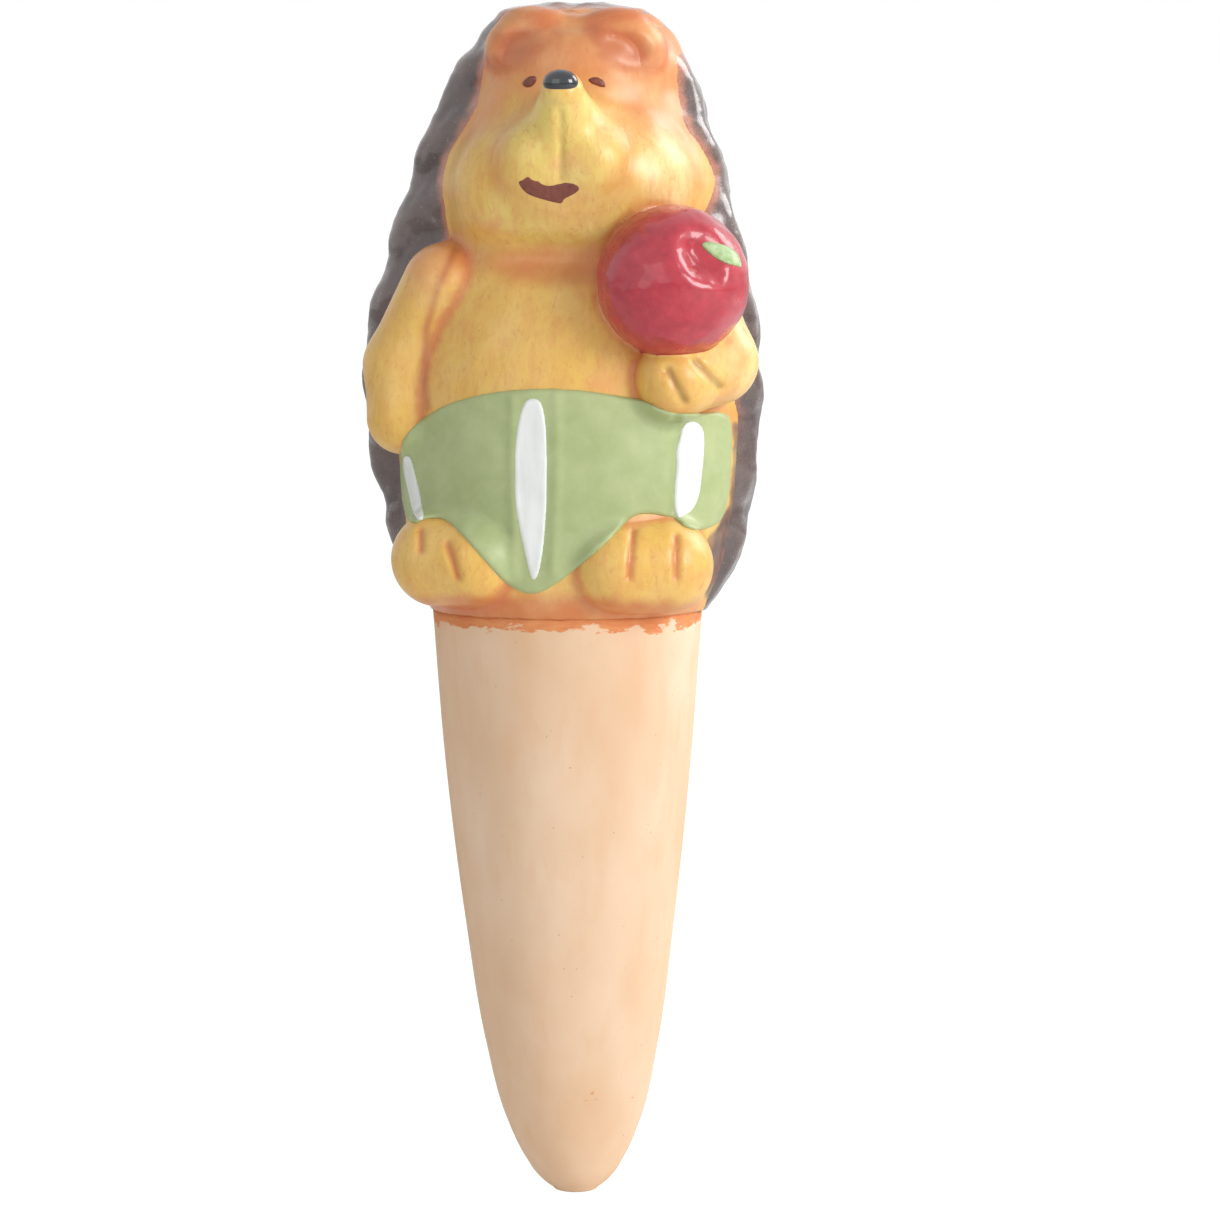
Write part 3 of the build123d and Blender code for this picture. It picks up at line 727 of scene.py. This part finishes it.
def surface_net(values, low, step):
    """Vertices and quads of the zero surface of gridded values."""
    inside = values < 0
    cells = tuple(n - 1 for n in values.shape)
    count = np.zeros(cells, np.int8)
    for i, j, k in np.ndindex(2, 2, 2):
        count += inside[i : i + cells[0], j : j + cells[1], k : k + cells[2]]
    cell = np.argwhere((count > 0) & (count < 8))
    number = np.full(cells, -1, np.int64)
    number[tuple(cell.T)] = np.arange(len(cell))
    total = np.zeros((len(cell), 3))
    crossings = np.zeros(len(cell))
    for axis in range(3):
        first, second = [a for a in range(3) if a != axis]
        for i, j in np.ndindex(2, 2):
            start = i * UNIT[first] + j * UNIT[second]
            a = values[tuple((cell + start).T)]
            b = values[tuple((cell + start + UNIT[axis]).T)]
            crossed = (a < 0) != (b < 0)
            share = np.where(crossed, a / np.where(crossed, a - b, 1), 0)
            point = start + share[:, None] * UNIT[axis]
            total += np.where(crossed[:, None], point, 0)
            crossings += crossed
    vertices = low + step * (cell + total / crossings[:, None])
    quads = []
    for axis in range(3):
        first, second = (axis + 1) % 3, (axis + 2) % 3
        body = tuple(slice(0, n - ahead) for ahead, n in zip(UNIT[axis], values.shape))
        shifted = tuple(slice(ahead, n) for ahead, n in zip(UNIT[axis], values.shape))
        edge = np.argwhere(inside[body] != inside[shifted])
        edge = edge[(edge[:, first] > 0) & (edge[:, second] > 0)]
        edge = edge[(edge[:, first] < cells[first]) & (edge[:, second] < cells[second])]
        around = [edge - UNIT[first] - UNIT[second], edge - UNIT[second], edge, edge - UNIT[first]]
        quad = np.stack([number[tuple(c.T)] for c in around], axis=1)
        flip = ~inside[tuple(edge.T)]
        quad[flip] = quad[flip][:, ::-1]
        quads.append(quad)
    return vertices, np.concatenate(quads)


def slope(level, p, reach=0.03):
    """The level and its gradient at points, by differences."""
    gradient = np.empty_like(p)
    for axis in range(3):
        step = reach * UNIT[axis]
        gradient[:, axis] = (level(p + step) - level(p - step)) / (2 * reach)
    return level(p), gradient


GRID_MARGIN_STEPS = 1.5
DRAW_ROUNDS = 2
FLATTEST_SLOPE = 0.05
LONGEST_MOVE_STEPS = 0.5


def sculpted(level, low, high, step):
    """Vertices drawn onto the level's zero surface, and their quads."""
    low = low - GRID_MARGIN_STEPS * step
    high = high + GRID_MARGIN_STEPS * step
    vertices, quads = surface_net(sampled(level, low, high, step), low, step)
    for _ in range(DRAW_ROUNDS):
        value, gradient = slope(level, vertices)
        size = np.maximum((gradient**2).sum(axis=1), FLATTEST_SLOPE)
        move = (value / size)[:, None] * gradient
        length = lengths(move)
        move *= np.minimum(1, LONGEST_MOVE_STEPS * step / np.maximum(length, 1e-9))[:, None]
        vertices = vertices - move
    return vertices, quads


def in_scene(name, data):
    made = bpy.data.objects.new(name, data)
    bpy.context.scene.collection.objects.link(made)
    return made


def mesh_object(name, vertices, faces, material, colours=None, values=None):
    """A smooth shaded mesh from millimetre points, with named attributes at its points."""
    mesh = bpy.data.meshes.new(name)
    mesh.from_pydata((vertices * MM).tolist(), [], [list(map(int, face)) for face in faces])
    mesh.validate()
    mesh.polygons.foreach_set("use_smooth", np.ones(len(mesh.polygons), bool))
    if colours is not None:
        # The paint colours at the points, painted shade and painted highlights included
        layer = mesh.attributes.new("paint", "FLOAT_COLOR", "POINT")
        rgba = np.concatenate([colours, np.ones((len(colours), 1))], axis=1)
        layer.data.foreach_set("color", rgba.astype(np.float32).ravel())
    for label, value in (values or {}).items():
        layer = mesh.attributes.new(label, "FLOAT", "POINT")
        layer.data.foreach_set("value", np.asarray(value, np.float32))
    mesh.materials.append(material)
    return in_scene(name, mesh)


# Materials
SCREEN_LINEAR_END = 0.04045


def linear(red, green, blue):
    """A screen colour of 0 to 255 as linear light."""
    shares = [part / 255 for part in (red, green, blue)]
    return np.array([s / 12.92 if s <= SCREEN_LINEAR_END else ((s + 0.055) / 1.055) ** 2.4 for s in shares])


def fill_inputs(tree, node, inputs):
    """Joins each input, by name or number, to another node's output, or gives it a constant."""
    for label, value in inputs.items():
        if isinstance(value, bpy.types.NodeSocket):
            tree.links.new(value, node.inputs[label])
        else:
            node.inputs[label].default_value = value


def add_node(tree, kind, inputs=None, **settings):
    """A shader node of a kind, such as Mix, with its settings and inputs."""
    node = tree.nodes.new("ShaderNode" + kind)
    for key, value in settings.items():
        setattr(node, key, value)
    fill_inputs(tree, node, inputs or {})
    return node


class Nodes:
    """A material's node tree, with short calls for the nodes that the finishes share."""

    def __init__(self, name):
        self.material = bpy.data.materials.new(name)
        self.material.use_nodes = True
        self.tree = self.material.node_tree
        self.place = self.add("TexCoord").outputs["Object"]

    def add(self, kind, inputs=None, **settings):
        return add_node(self.tree, kind, inputs, **settings)

    def noise(self, size_mm, detail, rough, stretch=(1, 1, 1), twist=0.0):
        stretched = self.add("Mapping", {"Scale": stretch, "Vector": self.place})
        inputs = {"Scale": 1 / (size_mm * MM), "Detail": detail, "Roughness": rough, "Distortion": twist}
        inputs["Vector"] = stretched.outputs["Vector"]
        return self.add("TexNoise", inputs).outputs["Fac"]

    def spots(self, size_mm):
        inputs = {"Scale": 1 / (size_mm * MM), "Randomness": 1.0, "Vector": self.place}
        return self.add("TexVoronoi", inputs).outputs["Distance"]

    def remap(self, source, low, high, to_low=0.0, to_high=1.0):
        inputs = {"Value": source, "From Min": low, "From Max": high, "To Min": to_low, "To Max": to_high}
        return self.add("MapRange", inputs).outputs["Result"]

    def attribute(self, label, output="Fac"):
        return self.add("Attribute", attribute_name=label).outputs[output]

    def mix(self, share, *colours):
        """A mix of two colours, each the output of a node or a constant."""
        first, second = [c if isinstance(c, bpy.types.NodeSocket) else (*c, 1.0) for c in colours]
        return self.add("Mix", {0: share, 6: first, 7: second}, data_type="RGBA").outputs[2]

    def bump(self, height, depth_mm, strength, under=None):
        inputs = {"Strength": strength, "Distance": depth_mm * MM, "Height": height}
        if under is not None:
            inputs["Normal"] = under
        return self.add("Bump", inputs).outputs["Normal"]

    def finish(self, colour, roughness, normal, **constants):
        inputs = {"Base Color": colour, "Roughness": roughness, "Normal": normal}
        inputs.update({label.replace("_", " "): value for label, value in constants.items()})
        fill_inputs(self.tree, self.tree.nodes["Principled BSDF"], inputs)
        return self.material


def clay_paint_material():
    """Thin hand paint on clay: yellow and orange washes from the mesh, with painted shade and painted
    highlights among them, streaked by the brush.
    """
    n = Nodes("painted_clay")
    streaks = n.noise(1.6, 5.0, 0.65, (1.0, 1.0, 0.28), 0.6)
    patches = n.noise(7.0, 3.0, 0.5)
    grains = n.noise(0.35, 3.0, 0.6)
    flecks = n.noise(1.2, 5.0, 0.72, (1.0, 1.0, 0.5), 1.2)
    # The mesh's colours: paint, with painted shade and painted highlights
    zones = n.attribute("paint", "Color")
    colour = n.mix(n.remap(streaks, 0.42, 0.75, 0.0, 0.42), zones, linear(214, 128, 70))
    colour = n.mix(n.remap(patches, 0.46, 0.78, 0.0, 0.32), colour, linear(246, 218, 156))
    colour = n.mix(n.remap(flecks, 0.54, 0.76, 0.0, 0.55), colour, linear(198, 112, 64))
    colour = n.mix(n.remap(grains, 0.60, 0.80, 0.0, 0.18), colour, linear(180, 110, 60))
    roughness = n.remap(patches, 0.3, 0.7, 0.30, 0.46)
    normal = n.bump(grains, 0.035, 0.5)
    normal = n.bump(streaks, 0.05, 0.4, normal)
    return n.finish(colour, roughness, normal, Specular_IOR_Level=0.55, Coat_Weight=0.15, Coat_Roughness=0.3)


def coat_material():
    """Dark brown gloss, thin over the clay, with a painted highlight on the ridges, pale dust specks and a
    rim of orange.
    """
    n = Nodes("brown_gloss_paint")
    patches = n.noise(5.0, 4.0, 0.6)
    specks = n.spots(1.3)
    grains = n.noise(0.5, 4.0, 0.6)
    colour = n.mix(n.remap(patches, 0.35, 0.72), linear(62, 47, 46), linear(94, 75, 71))
    # Painted highlight: the ridges between the scoops made lighter brown
    colour = n.mix(n.remap(n.attribute("ridge"), 0.45, 1.0, 0.0, 0.4), colour, linear(118, 98, 92))
    colour = n.mix(n.remap(specks, 0.05, 0.11, 0.55, 0.0), colour, linear(196, 182, 170))
    colour = n.mix(n.remap(n.attribute("rim"), 0.0, 1.0, 0.0, 0.65), colour, linear(206, 128, 96))
    roughness = n.remap(grains, 0.3, 0.7, 0.18, 0.36)
    normal = n.bump(grains, 0.06, 0.5)
    normal = n.bump(patches, 0.25, 0.4, normal)
    return n.finish(colour, roughness, normal, Specular_IOR_Level=0.7, Coat_Weight=0.6, Coat_Roughness=0.12)


def terracotta_material():
    """Bare porous clay in soft patches, with grit, pinholes and a ragged painted hem."""
    n = Nodes("bare_clay")
    clouds = n.noise(16.0, 3.0, 0.5, (1.0, 1.0, 0.55))
    wipes = n.noise(3.0, 5.0, 0.6, (1.0, 1.0, 0.25))
    grit = n.noise(0.30, 4.0, 0.7)
    holes = n.spots(2.6)
    colour = n.mix(n.remap(clouds, 0.32, 0.70), linear(226, 188, 152), linear(238, 210, 182))
    colour = n.mix(n.remap(wipes, 0.52, 0.80, 0.0, 0.45), colour, linear(228, 182, 142))
    colour = n.mix(n.remap(grit, 0.60, 0.80, 0.0, 0.30), colour, linear(205, 158, 120))
    colour = n.mix(n.remap(holes, 0.03, 0.06, 0.55, 0.0), colour, linear(176, 120, 84))
    ragged = n.remap(n.noise(2.6, 4.0, 0.65, (0.6, 0.6, 1.4)), 0.0, 1.0, -1.0, 1.0)
    painted = n.add("Math", {0: n.attribute("hem"), 1: ragged}, operation="ADD")
    mask = n.remap(painted.outputs[0], 0.44, 0.56)
    hem_streaks = n.mix(n.noise(1.2, 4.0, 0.6, (0.4, 0.4, 2.0)), linear(208, 104, 66), linear(232, 170, 110))
    colour = n.mix(mask, colour, hem_streaks)
    roughness = n.remap(grit, 0.3, 0.7, 0.74, 0.92)
    normal = n.bump(grit, 0.05, 0.6)
    normal = n.bump(holes, 0.12, 0.25, normal)
    return n.finish(colour, roughness, normal, Specular_IOR_Level=0.25)


def flat_paint_material(name, light, dark, gloss, streak=(1, 1, 1), coat=0.0, size=2.2, relief=0.04):
    """One brushed colour that thins along its streaks."""
    n = Nodes(name)
    brushed = n.noise(size, 5.0, 0.6, streak, 0.3)
    grains = n.noise(0.4, 3.0, 0.6)
    colour = n.mix(n.remap(brushed, 0.35, 0.75), linear(*light), linear(*dark))
    roughness = n.remap(brushed, 0.3, 0.7, gloss * 0.85, gloss * 1.15)
    normal = n.bump(grains, relief, 0.5)
    normal = n.bump(brushed, relief * 1.6, 0.4, normal)
    return n.finish(colour, roughness, normal, Coat_Weight=coat, Coat_Roughness=0.08)


CLAY_PAINT = clay_paint_material()
COAT_PAINT = coat_material()
BARE_CLAY = terracotta_material()
GREEN_PAINT = flat_paint_material("green_paint", (178, 190, 138), (162, 176, 120), 0.42, size=5.0)
WHITE_PAINT = flat_paint_material("white_paint", (240, 242, 240), (222, 228, 224), 0.35, (1, 1, 0.15))
RED_PAINT = flat_paint_material("red_gloss_paint", (192, 50, 66), (166, 34, 52), 0.3, coat=0.45)
LEAF_PAINT = flat_paint_material("leaf_green_paint", (150, 180, 112), (190, 212, 168), 0.35, size=1.2)
NOSE_PAINT = flat_paint_material("black_gloss_paint", (34, 38, 46), (26, 29, 36), 0.16, coat=0.8)
BROWN_PAINT = flat_paint_material("brown_paint", (134, 70, 54), (104, 54, 46), 0.35, size=0.8)

# Paint on the clay: soft zones of colour by place, and orange where forms meet; some zones are painted
# highlight and painted shade, and the orange in creases and grooves is partly painted shade
YELLOW = linear(232, 187, 92)
LEMON = linear(232, 206, 112)
# Pale yellow for painted highlights on the lit right cheek and on the holding paw
HIGHLIGHT_PALE = linear(246, 222, 158)
ORANGE = linear(224, 146, 92)
DEEP_ORANGE = linear(204, 108, 62)
# Olive for painted shade in the finger grooves
OLIVE_GROOVE_SHADE = linear(150, 118, 58)
# Brown for painted shade in the ear hollows and painted shadow under the ear lobes
EAR_SHADE_BROWN = linear(188, 100, 66)
COAT_BROWN = linear(84, 66, 62)

# Each zone: place on the body, millimetres out, radii, colour and strength
COLOUR_ZONES = [
    (0.965, 0.0, -4.0, (22.0, 18.0, 14.0), ORANGE, 0.95),
    (0.86, 0.95, -2.0, (10.0, 14.0, 14.0), ORANGE, 0.85),
    (0.86, -0.95, -2.0, (7.0, 12.0, 13.0), ORANGE, 0.8),
    (0.70, 0.92, -1.0, (7.0, 12.0, 12.0), ORANGE, 0.25),
    # Painted highlights: the lit right cheek and the holding paw made paler
    (0.745, 0.74, 1.0, (6.0, 7.0, 8.0), HIGHLIGHT_PALE, 0.6),
    (0.43, 0.95, 5.0, (7.0, 9.0, 9.0), HIGHLIGHT_PALE, 0.6),
    (0.585, -0.85, 2.0, (7.0, 9.0, 6.0), ORANGE, 0.7),
    (0.67, 0.02, 0.0, (14.0, 9.0, 6.5), LEMON, 0.8),
    (0.79, 0.02, 4.0, (9.5, 12.0, 11.0), LEMON, 0.95),
    # Painted shade under the chin, in the hollow of the neck
    (0.585, 0.2, 0.0, (18.0, 8.0, 4.0), DEEP_ORANGE, 0.45),
    (0.50, 0.0, 0.0, (16.0, 10.0, 6.0), YELLOW, 0.4),
    (0.0, 0.0, 0.0, (36.0, 36.0, 4.6), DEEP_ORANGE, 0.85),
]

# Ranges over which the zones, washes and rim fade
ZONE_FADE = (0.55, 1.15)
CREASE_REACH = (0.2, 1.9)
SNOUT_REACH = (0.2, 3.0)
WASH_RANGE = (0.1, 0.9)
EAR_SHADE_REACH = (-0.4, 1.4)
SIDE_PAINT_EDGE = (-0.2, 0.5)
RIM_REACH = (0.2, 1.4)
RIM_HEIGHTS = (26.0, 40.0)
RIM_DEPTHS = (-2.0, 5.0)


def clay_colours(p, forms):
    """Linear colours of the painted clay at points on the figure, painted shade and painted highlights among
    them.
    """
    colours = np.tile(YELLOW, (len(p), 1))
    for up, across, out, radii, colour, strength in COLOUR_ZONES:
        reach = lengths((p - skin(up, across, out)) / radii) + 0.10 * waver(p, 6.0, up)
        weight = strength * (1 - ramp(reach, *ZONE_FADE))
        colours += weight[:, None] * (colour - colours)
    limbs = [value for name, value in forms.items() if name not in ("muzzle", "front_shell", "quill_coat")]
    nearest_limb = np.min(limbs, axis=0)
    shell = np.minimum(forms["front_shell"], forms["quill_coat"])
    # Deep orange where the limbs and the muzzle meet the body: the paint's own deeper orange there, made
    # stronger as painted shade
    crease = 1 - ramp(np.abs(nearest_limb - shell) + 0.4 * waver(p, 3.0, 1.1), *CREASE_REACH)
    snout = 1 - ramp(np.abs(forms["muzzle"] - shell), *SNOUT_REACH)
    wash = ramp(waver(p, 17.0, 0.3) + 0.4 * waver(p, 5.0, 2.0), *WASH_RANGE)
    # Painted shade in the ear hollows
    ears = np.min([ear_eggs(p, name)[1] for name in EAR_PLACES], axis=0)
    toes = TOE_STROKES["left_foot"] + TOE_STROKES["right_foot"]
    pixels = photo_pixels(p)
    sides = np.min([outline_distance(pixels, np.array(ring, float)) for ring in SIDE_PAINT_OUTLINES], axis=0)
    bare = ramp(nearest_limb - shell, 0.0, 0.5) * (p[:, 1] < 0)
    # Orange wash at random; painted shade in creases, grooves and ear hollows, under the chin, the paw and
    # the ear lobes; the coat's brown beside the trousers
    for weight, colour in (
        (0.45 * wash, ORANGE),
        (0.75 * crease, DEEP_ORANGE),
        (0.30 * snout, DEEP_ORANGE),
        (0.40 * pressed(p, CHIN_AND_PAW_SHADE_STROKES, 2.2), DEEP_ORANGE),
        (0.75 * pressed(p, [ARM_CREASE_SHADE_STROKE], 0.7), DEEP_ORANGE * 0.75),
        (0.75 * pressed(p, toes, 0.6), DEEP_ORANGE),
        (0.75 * pressed(p, FINGER_STROKES, 0.6), OLIVE_GROOVE_SHADE),
        (0.35 * (1 - ramp(ears + 0.4 * waver(p, 2.5), *EAR_SHADE_REACH)), EAR_SHADE_BROWN),
        (0.45 * pressed(p, EAR_SHADOW_STROKES, 1.3), EAR_SHADE_BROWN),
        (bare * (1 - ramp(sides + 0.3 * waver(p, 4.0), *SIDE_PAINT_EDGE)), COAT_BROWN),
    ):
        colours += weight[:, None] * (colour - colours)
    return colours


def painted_piece(name, level, within, margin, step, material, node=None, slot=None):
    """Sculpts a piece within a node's box and a margin, paints it and puts it in its place."""
    low, high = node_box(within)
    vertices, quads = sculpted(level, low - margin, high + margin, step)
    forms = all_forms(vertices)
    edge = np.abs(forms["front_shell"] - forms["quill_coat"]) + 0.5 * waver(vertices, 4.0, 0.7)
    front = (1 - ramp(vertices[:, 1], *RIM_DEPTHS)) * ramp(vertices[:, 2], *RIM_HEIGHTS)
    # ridge carries the coat's painted highlight; rim, the orange paint beside the face
    values = {"ridge": 1 - scoops(vertices), "rim": front * (1 - ramp(edge, *RIM_REACH))}
    piece = mesh_object(name, vertices, quads, material, clay_colours(vertices, forms), values)
    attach(piece, "root")
    if node:
        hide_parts(node)


HALF = (half_shell_level, SHELL_STEP)
SPRIG = (sprig_level, LIMB_STEP)
PIECE_PLAN = [
    ("front_shell", HALF, CLAY_PAINT, "yellow_paint"),
    ("quill_coat", HALF, COAT_PAINT, "brown_gloss"),
    ("muzzle", SPRIG, CLAY_PAINT, "yellow_paint"),
    ("left_ear", SPRIG, CLAY_PAINT, "orange_paint"),
    ("right_ear", SPRIG, CLAY_PAINT, "orange_paint"),
    ("hanging_arm", SPRIG, CLAY_PAINT, "yellow_paint"),
    ("holding_arm", SPRIG, CLAY_PAINT, "yellow_paint"),
    ("left_foot", SPRIG, CLAY_PAINT, "yellow_paint"),
    ("right_foot", SPRIG, CLAY_PAINT, "yellow_paint"),
    ("apple", SPRIG, RED_PAINT, "red_gloss"),
]
PIECE_MARGIN = 3.0

for node, (make_level, step), material, slot in PIECE_PLAN:
    painted_piece(node + "_clay", make_level(node), node, PIECE_MARGIN, step, material, node, slot)

LAYER_SUNK = 0.5


def paint_layer(
    name, outline, thickness, edge, base, within, material,
    node=None, slot=None, margin=0.0, grow=0.0, step=FINE_STEP,
):
    """A layer of paint or slip on a base surface, inside an outline of the photograph."""
    ring = smooth_ring(outline)

    def level(p):
        surface = base(p)
        inside = outline_distance(photo_pixels(p), ring) - grow
        swell = thickness * np.sqrt(ramp(-inside, 0.0, edge))
        return np.maximum.reduce([surface - swell, inside, -(surface + LAYER_SUNK), p[:, 1]])

    painted_piece(name, level, within, margin, step, material, node, slot)


def figure_surface(p):
    return joined(all_forms(p))


PLACKET_HEIGHT = 0.3
PLACKET_WIDTH = 0.9
SEAM_DEPTH = 0.35
SEAM_WIDTH = 0.8


def cloth_surface(p):
    """The figure's surface, raised along the placket and sunk along the side seam."""
    raised = figure_surface(p) - PLACKET_HEIGHT * pressed(p, PLACKET_STROKES, PLACKET_WIDTH)
    return raised + SEAM_DEPTH * pressed(p, [SEAM_STROKE], SEAM_WIDTH)


def over_trousers(p):
    """The figure's surface with the trousers on it."""
    inside = outline_distance(photo_pixels(p), TROUSERS_RING)
    return cloth_surface(p) - TROUSERS_THICKNESS * np.sqrt(ramp(-inside, 0.0, TROUSERS_EDGE))


STRIPE_THICKNESS = 0.22
STRIPE_EDGE = 0.5
STRIPE_GROWTH = 0.25
MOUTH_THICKNESS = 0.12
MOUTH_EDGE = 0.3
MARK_THICKNESS = 0.3
MARK_EDGE = 0.4

paint_layer(
    "trousers_slip", TROUSERS_OUTLINE, TROUSERS_THICKNESS, TROUSERS_EDGE, cloth_surface, "trousers",
    GREEN_PAINT, "trousers", "green_paint", step=LIMB_STEP,
)
for name, outline in (
    ("centre_stripe", CENTRE_STRIPE_OUTLINE),
    ("left_stripe", LEFT_STRIPE_OUTLINE),
    ("right_stripe", RIGHT_STRIPE_OUTLINE),
):
    paint_layer(
        name, outline, STRIPE_THICKNESS, STRIPE_EDGE, over_trousers, "trousers", WHITE_PAINT,
        grow=STRIPE_GROWTH,
    )
paint_layer("mouth_paint", MOUTH_OUTLINE, MOUTH_THICKNESS, MOUTH_EDGE, figure_surface, "muzzle", BROWN_PAINT)
for name, node, outline, material, slot, margin in (
    ("leaf_paint", "leaf", LEAF_OUTLINE, LEAF_PAINT, "leaf_paint", 1.0),
    ("left_eye_paint", "left_eye", LEFT_EYE_OUTLINE, BROWN_PAINT, "eye_paint", 1.5),
    ("right_eye_paint", "right_eye", RIGHT_EYE_OUTLINE, BROWN_PAINT, "eye_paint", 1.5),
):
    paint_layer(name, outline, MARK_THICKNESS, MARK_EDGE, figure_surface, node, material, node, slot, margin)

NOSE_RADII = (2.8, 2.1, 2.1)
NOSE_BACK = 3.0
NOSE_MARGIN = 1.0


def nose_level(p):
    """A wide glossy nose on the muzzle's tip."""
    return np.maximum(egg(p, NOSE_PLACE, NOSE_RADII), -(p[:, 1] - NOSE_PLACE[1]) - NOSE_BACK)


painted_piece("nose_bead", nose_level, "nose", NOSE_MARGIN, FINE_STEP, NOSE_PAINT, "nose", "black_gloss")

# Spike: an outline turned round its axis, with the spigot and the bore inside
SPIKE_SIDES = 128
SPIKE_RINGS = 200
SPIKE_WALL = 4.0
SPIGOT_RADIUS = 18.6
SPIGOT_WALL = 3.0
SPIGOT_HEIGHT = SPIKE_HIGH[2]
SPIKE_LEAN = 1.3
BORE_STEP = 6
BORE_TIP_RINGS = 28
BORE_LEAST_RADIUS = 0.4
BORE_TOP = -0.5
HEM_FADE = (-4.2, 0.8)


def spike_outline():
    """Radius and height up the bore, over the spigot and down the outer wall."""
    ease = np.sin(np.linspace(0, math.pi / 2, SPIKE_RINGS))
    outer = [(np.interp(s, SPIKE_UP, SPIKE_WIDE) * SPIKE_RADIUS, -SPIKE_LENGTH * s) for s in ease]
    rows = outer[:-BORE_TIP_RINGS:BORE_STEP]
    bore = [(max(radius - SPIKE_WALL, BORE_LEAST_RADIUS), height) for radius, height in rows]
    mouth = SPIGOT_RADIUS - SPIGOT_WALL
    bore[0] = (mouth, BORE_TOP)
    top = [(mouth, SPIGOT_HEIGHT), (SPIGOT_RADIUS, SPIGOT_HEIGHT), (SPIGOT_RADIUS, 0.0)]
    return bore[::-1] + top + outer


def turned(outline):
    """A closed surface from an outline turned round the axis, which leans towards the tip."""
    vertices = []
    for radius, height in outline:
        for side in range(SPIKE_SIDES):
            angle = 2 * math.pi * side / SPIKE_SIDES
            lean = SPIKE_LEAN * (min(height, 0) / SPIKE_LENGTH) ** 2
            vertices.append((radius * math.cos(angle) + lean, radius * math.sin(angle), height))
    faces = []
    for ring in range(len(outline) - 1):
        for side in range(SPIKE_SIDES):
            after = (side + 1) % SPIKE_SIDES
            a, b = ring * SPIKE_SIDES, (ring + 1) * SPIKE_SIDES
            faces.append((b + side, b + after, a + after, a + side))
    faces.append(tuple(range(SPIKE_SIDES)))
    last = (len(outline) - 1) * SPIKE_SIDES
    faces.append(tuple(last + side for side in reversed(range(SPIKE_SIDES))))
    return np.array(vertices), faces


vertices, faces = turned(spike_outline())
hem = ramp(vertices[:, 2], *HEM_FADE)
spike = mesh_object("spike_clay", vertices, faces, BARE_CLAY, values={"hem": hem})
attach(spike, "root")
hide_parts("spike")

# Stage: a pale floor, soft lamps and the camera
FLOOR_DROP = 0.5
FLOOR_REACH = 4000.0
FLOOR_GLOW = 1.22
FLOOR_GLOW_SHARE = 0.78
AMBIENT_STRENGTH = 0.42


def floor_material():
    """A white floor that shows only a faint shadow to the camera."""
    n = Nodes("pale_floor")
    shader = n.tree.nodes["Principled BSDF"]
    fill_inputs(n.tree, shader, {"Base Color": (*linear(250, 250, 249), 1.0), "Roughness": 0.9})
    seen = n.add("LightPath").outputs["Is Camera Ray"]
    share = n.add("Math", {0: seen, 1: FLOOR_GLOW_SHARE}, operation="MULTIPLY")
    glow = n.add("Emission", {"Strength": FLOOR_GLOW})
    mix = n.add("MixShader", {"Fac": share.outputs[0], 1: shader.outputs[0], 2: glow.outputs[0]})
    fill_inputs(n.tree, n.tree.nodes["Material Output"], {"Surface": mix.outputs[0]})
    return n.material


def make_stage():
    z = (SPIKE_LOW[2] - FLOOR_DROP) * MM
    reach = FLOOR_REACH * MM
    corners = [(x * reach, y * reach, z) for x, y in ((-1, -1), (1, -1), (1, 1), (-1, 1))]
    mesh = bpy.data.meshes.new("floor")
    mesh.from_pydata(corners, [], [(0, 1, 2, 3)])
    floor = in_scene("floor", mesh)
    mesh.materials.append(floor_material())


def make_world():
    """A dim light from all round, which the camera and mirrored rays see as white."""
    world = bpy.data.worlds.new("studio")
    bpy.context.scene.world = world
    world.use_nodes = True
    tree = world.node_tree
    tree.nodes.clear()
    rays = add_node(tree, "LightPath").outputs
    seen = rays["Is Camera Ray"]
    for ray in ("Is Glossy Ray", "Is Transmission Ray"):
        seen = add_node(tree, "Math", {0: seen, 1: rays[ray]}, operation="MAXIMUM").outputs[0]
    dim, white = [
        add_node(tree, "Background", {"Color": (1, 1, 1, 1), "Strength": strength}).outputs[0]
        for strength in (AMBIENT_STRENGTH, 1.0)
    ]
    mix = add_node(tree, "MixShader", {"Fac": seen, 1: dim, 2: white})
    add_node(tree, "OutputWorld", {"Surface": mix.outputs[0]})


def make_lamp(name, place, size, watts):
    """A soft square lamp, its place in millimetres, aimed at the figure."""
    data = bpy.data.lights.new(name, "AREA")
    data.size = size * MM
    data.energy = watts
    lamp = in_scene(name, data)
    lamp.location = Vector(place) * MM
    lamp.rotation_euler = (-Vector(place)).to_track_quat("-Z", "Y").to_euler()


def make_camera():
    data = bpy.data.cameras.new("camera")
    data.sensor_width = SENSOR_WIDTH
    data.lens = SENSOR_WIDTH * CAMERA_DISTANCE / (PHOTO_SIZE * MM_PER_PIXEL)
    data.clip_start, data.clip_end = CAMERA_CLIP
    camera = in_scene("camera", data)
    camera.location = Vector(CAMERA_PLACE) * MM
    camera.rotation_euler = Vector(-TO_CAMERA).to_track_quat("-Z", "Y").to_euler()
    bpy.context.scene.camera = camera


make_stage()
make_world()
make_lamp("key_lamp", (720, -430, 330), 380, 4.6)
make_lamp("fill_lamp", (-300, -700, 260), 500, 0.7)
make_lamp("rim_lamp", (420, 260, 330), 300, 1.6)
make_camera()
bpy.context.scene.view_settings.view_transform = "Standard"
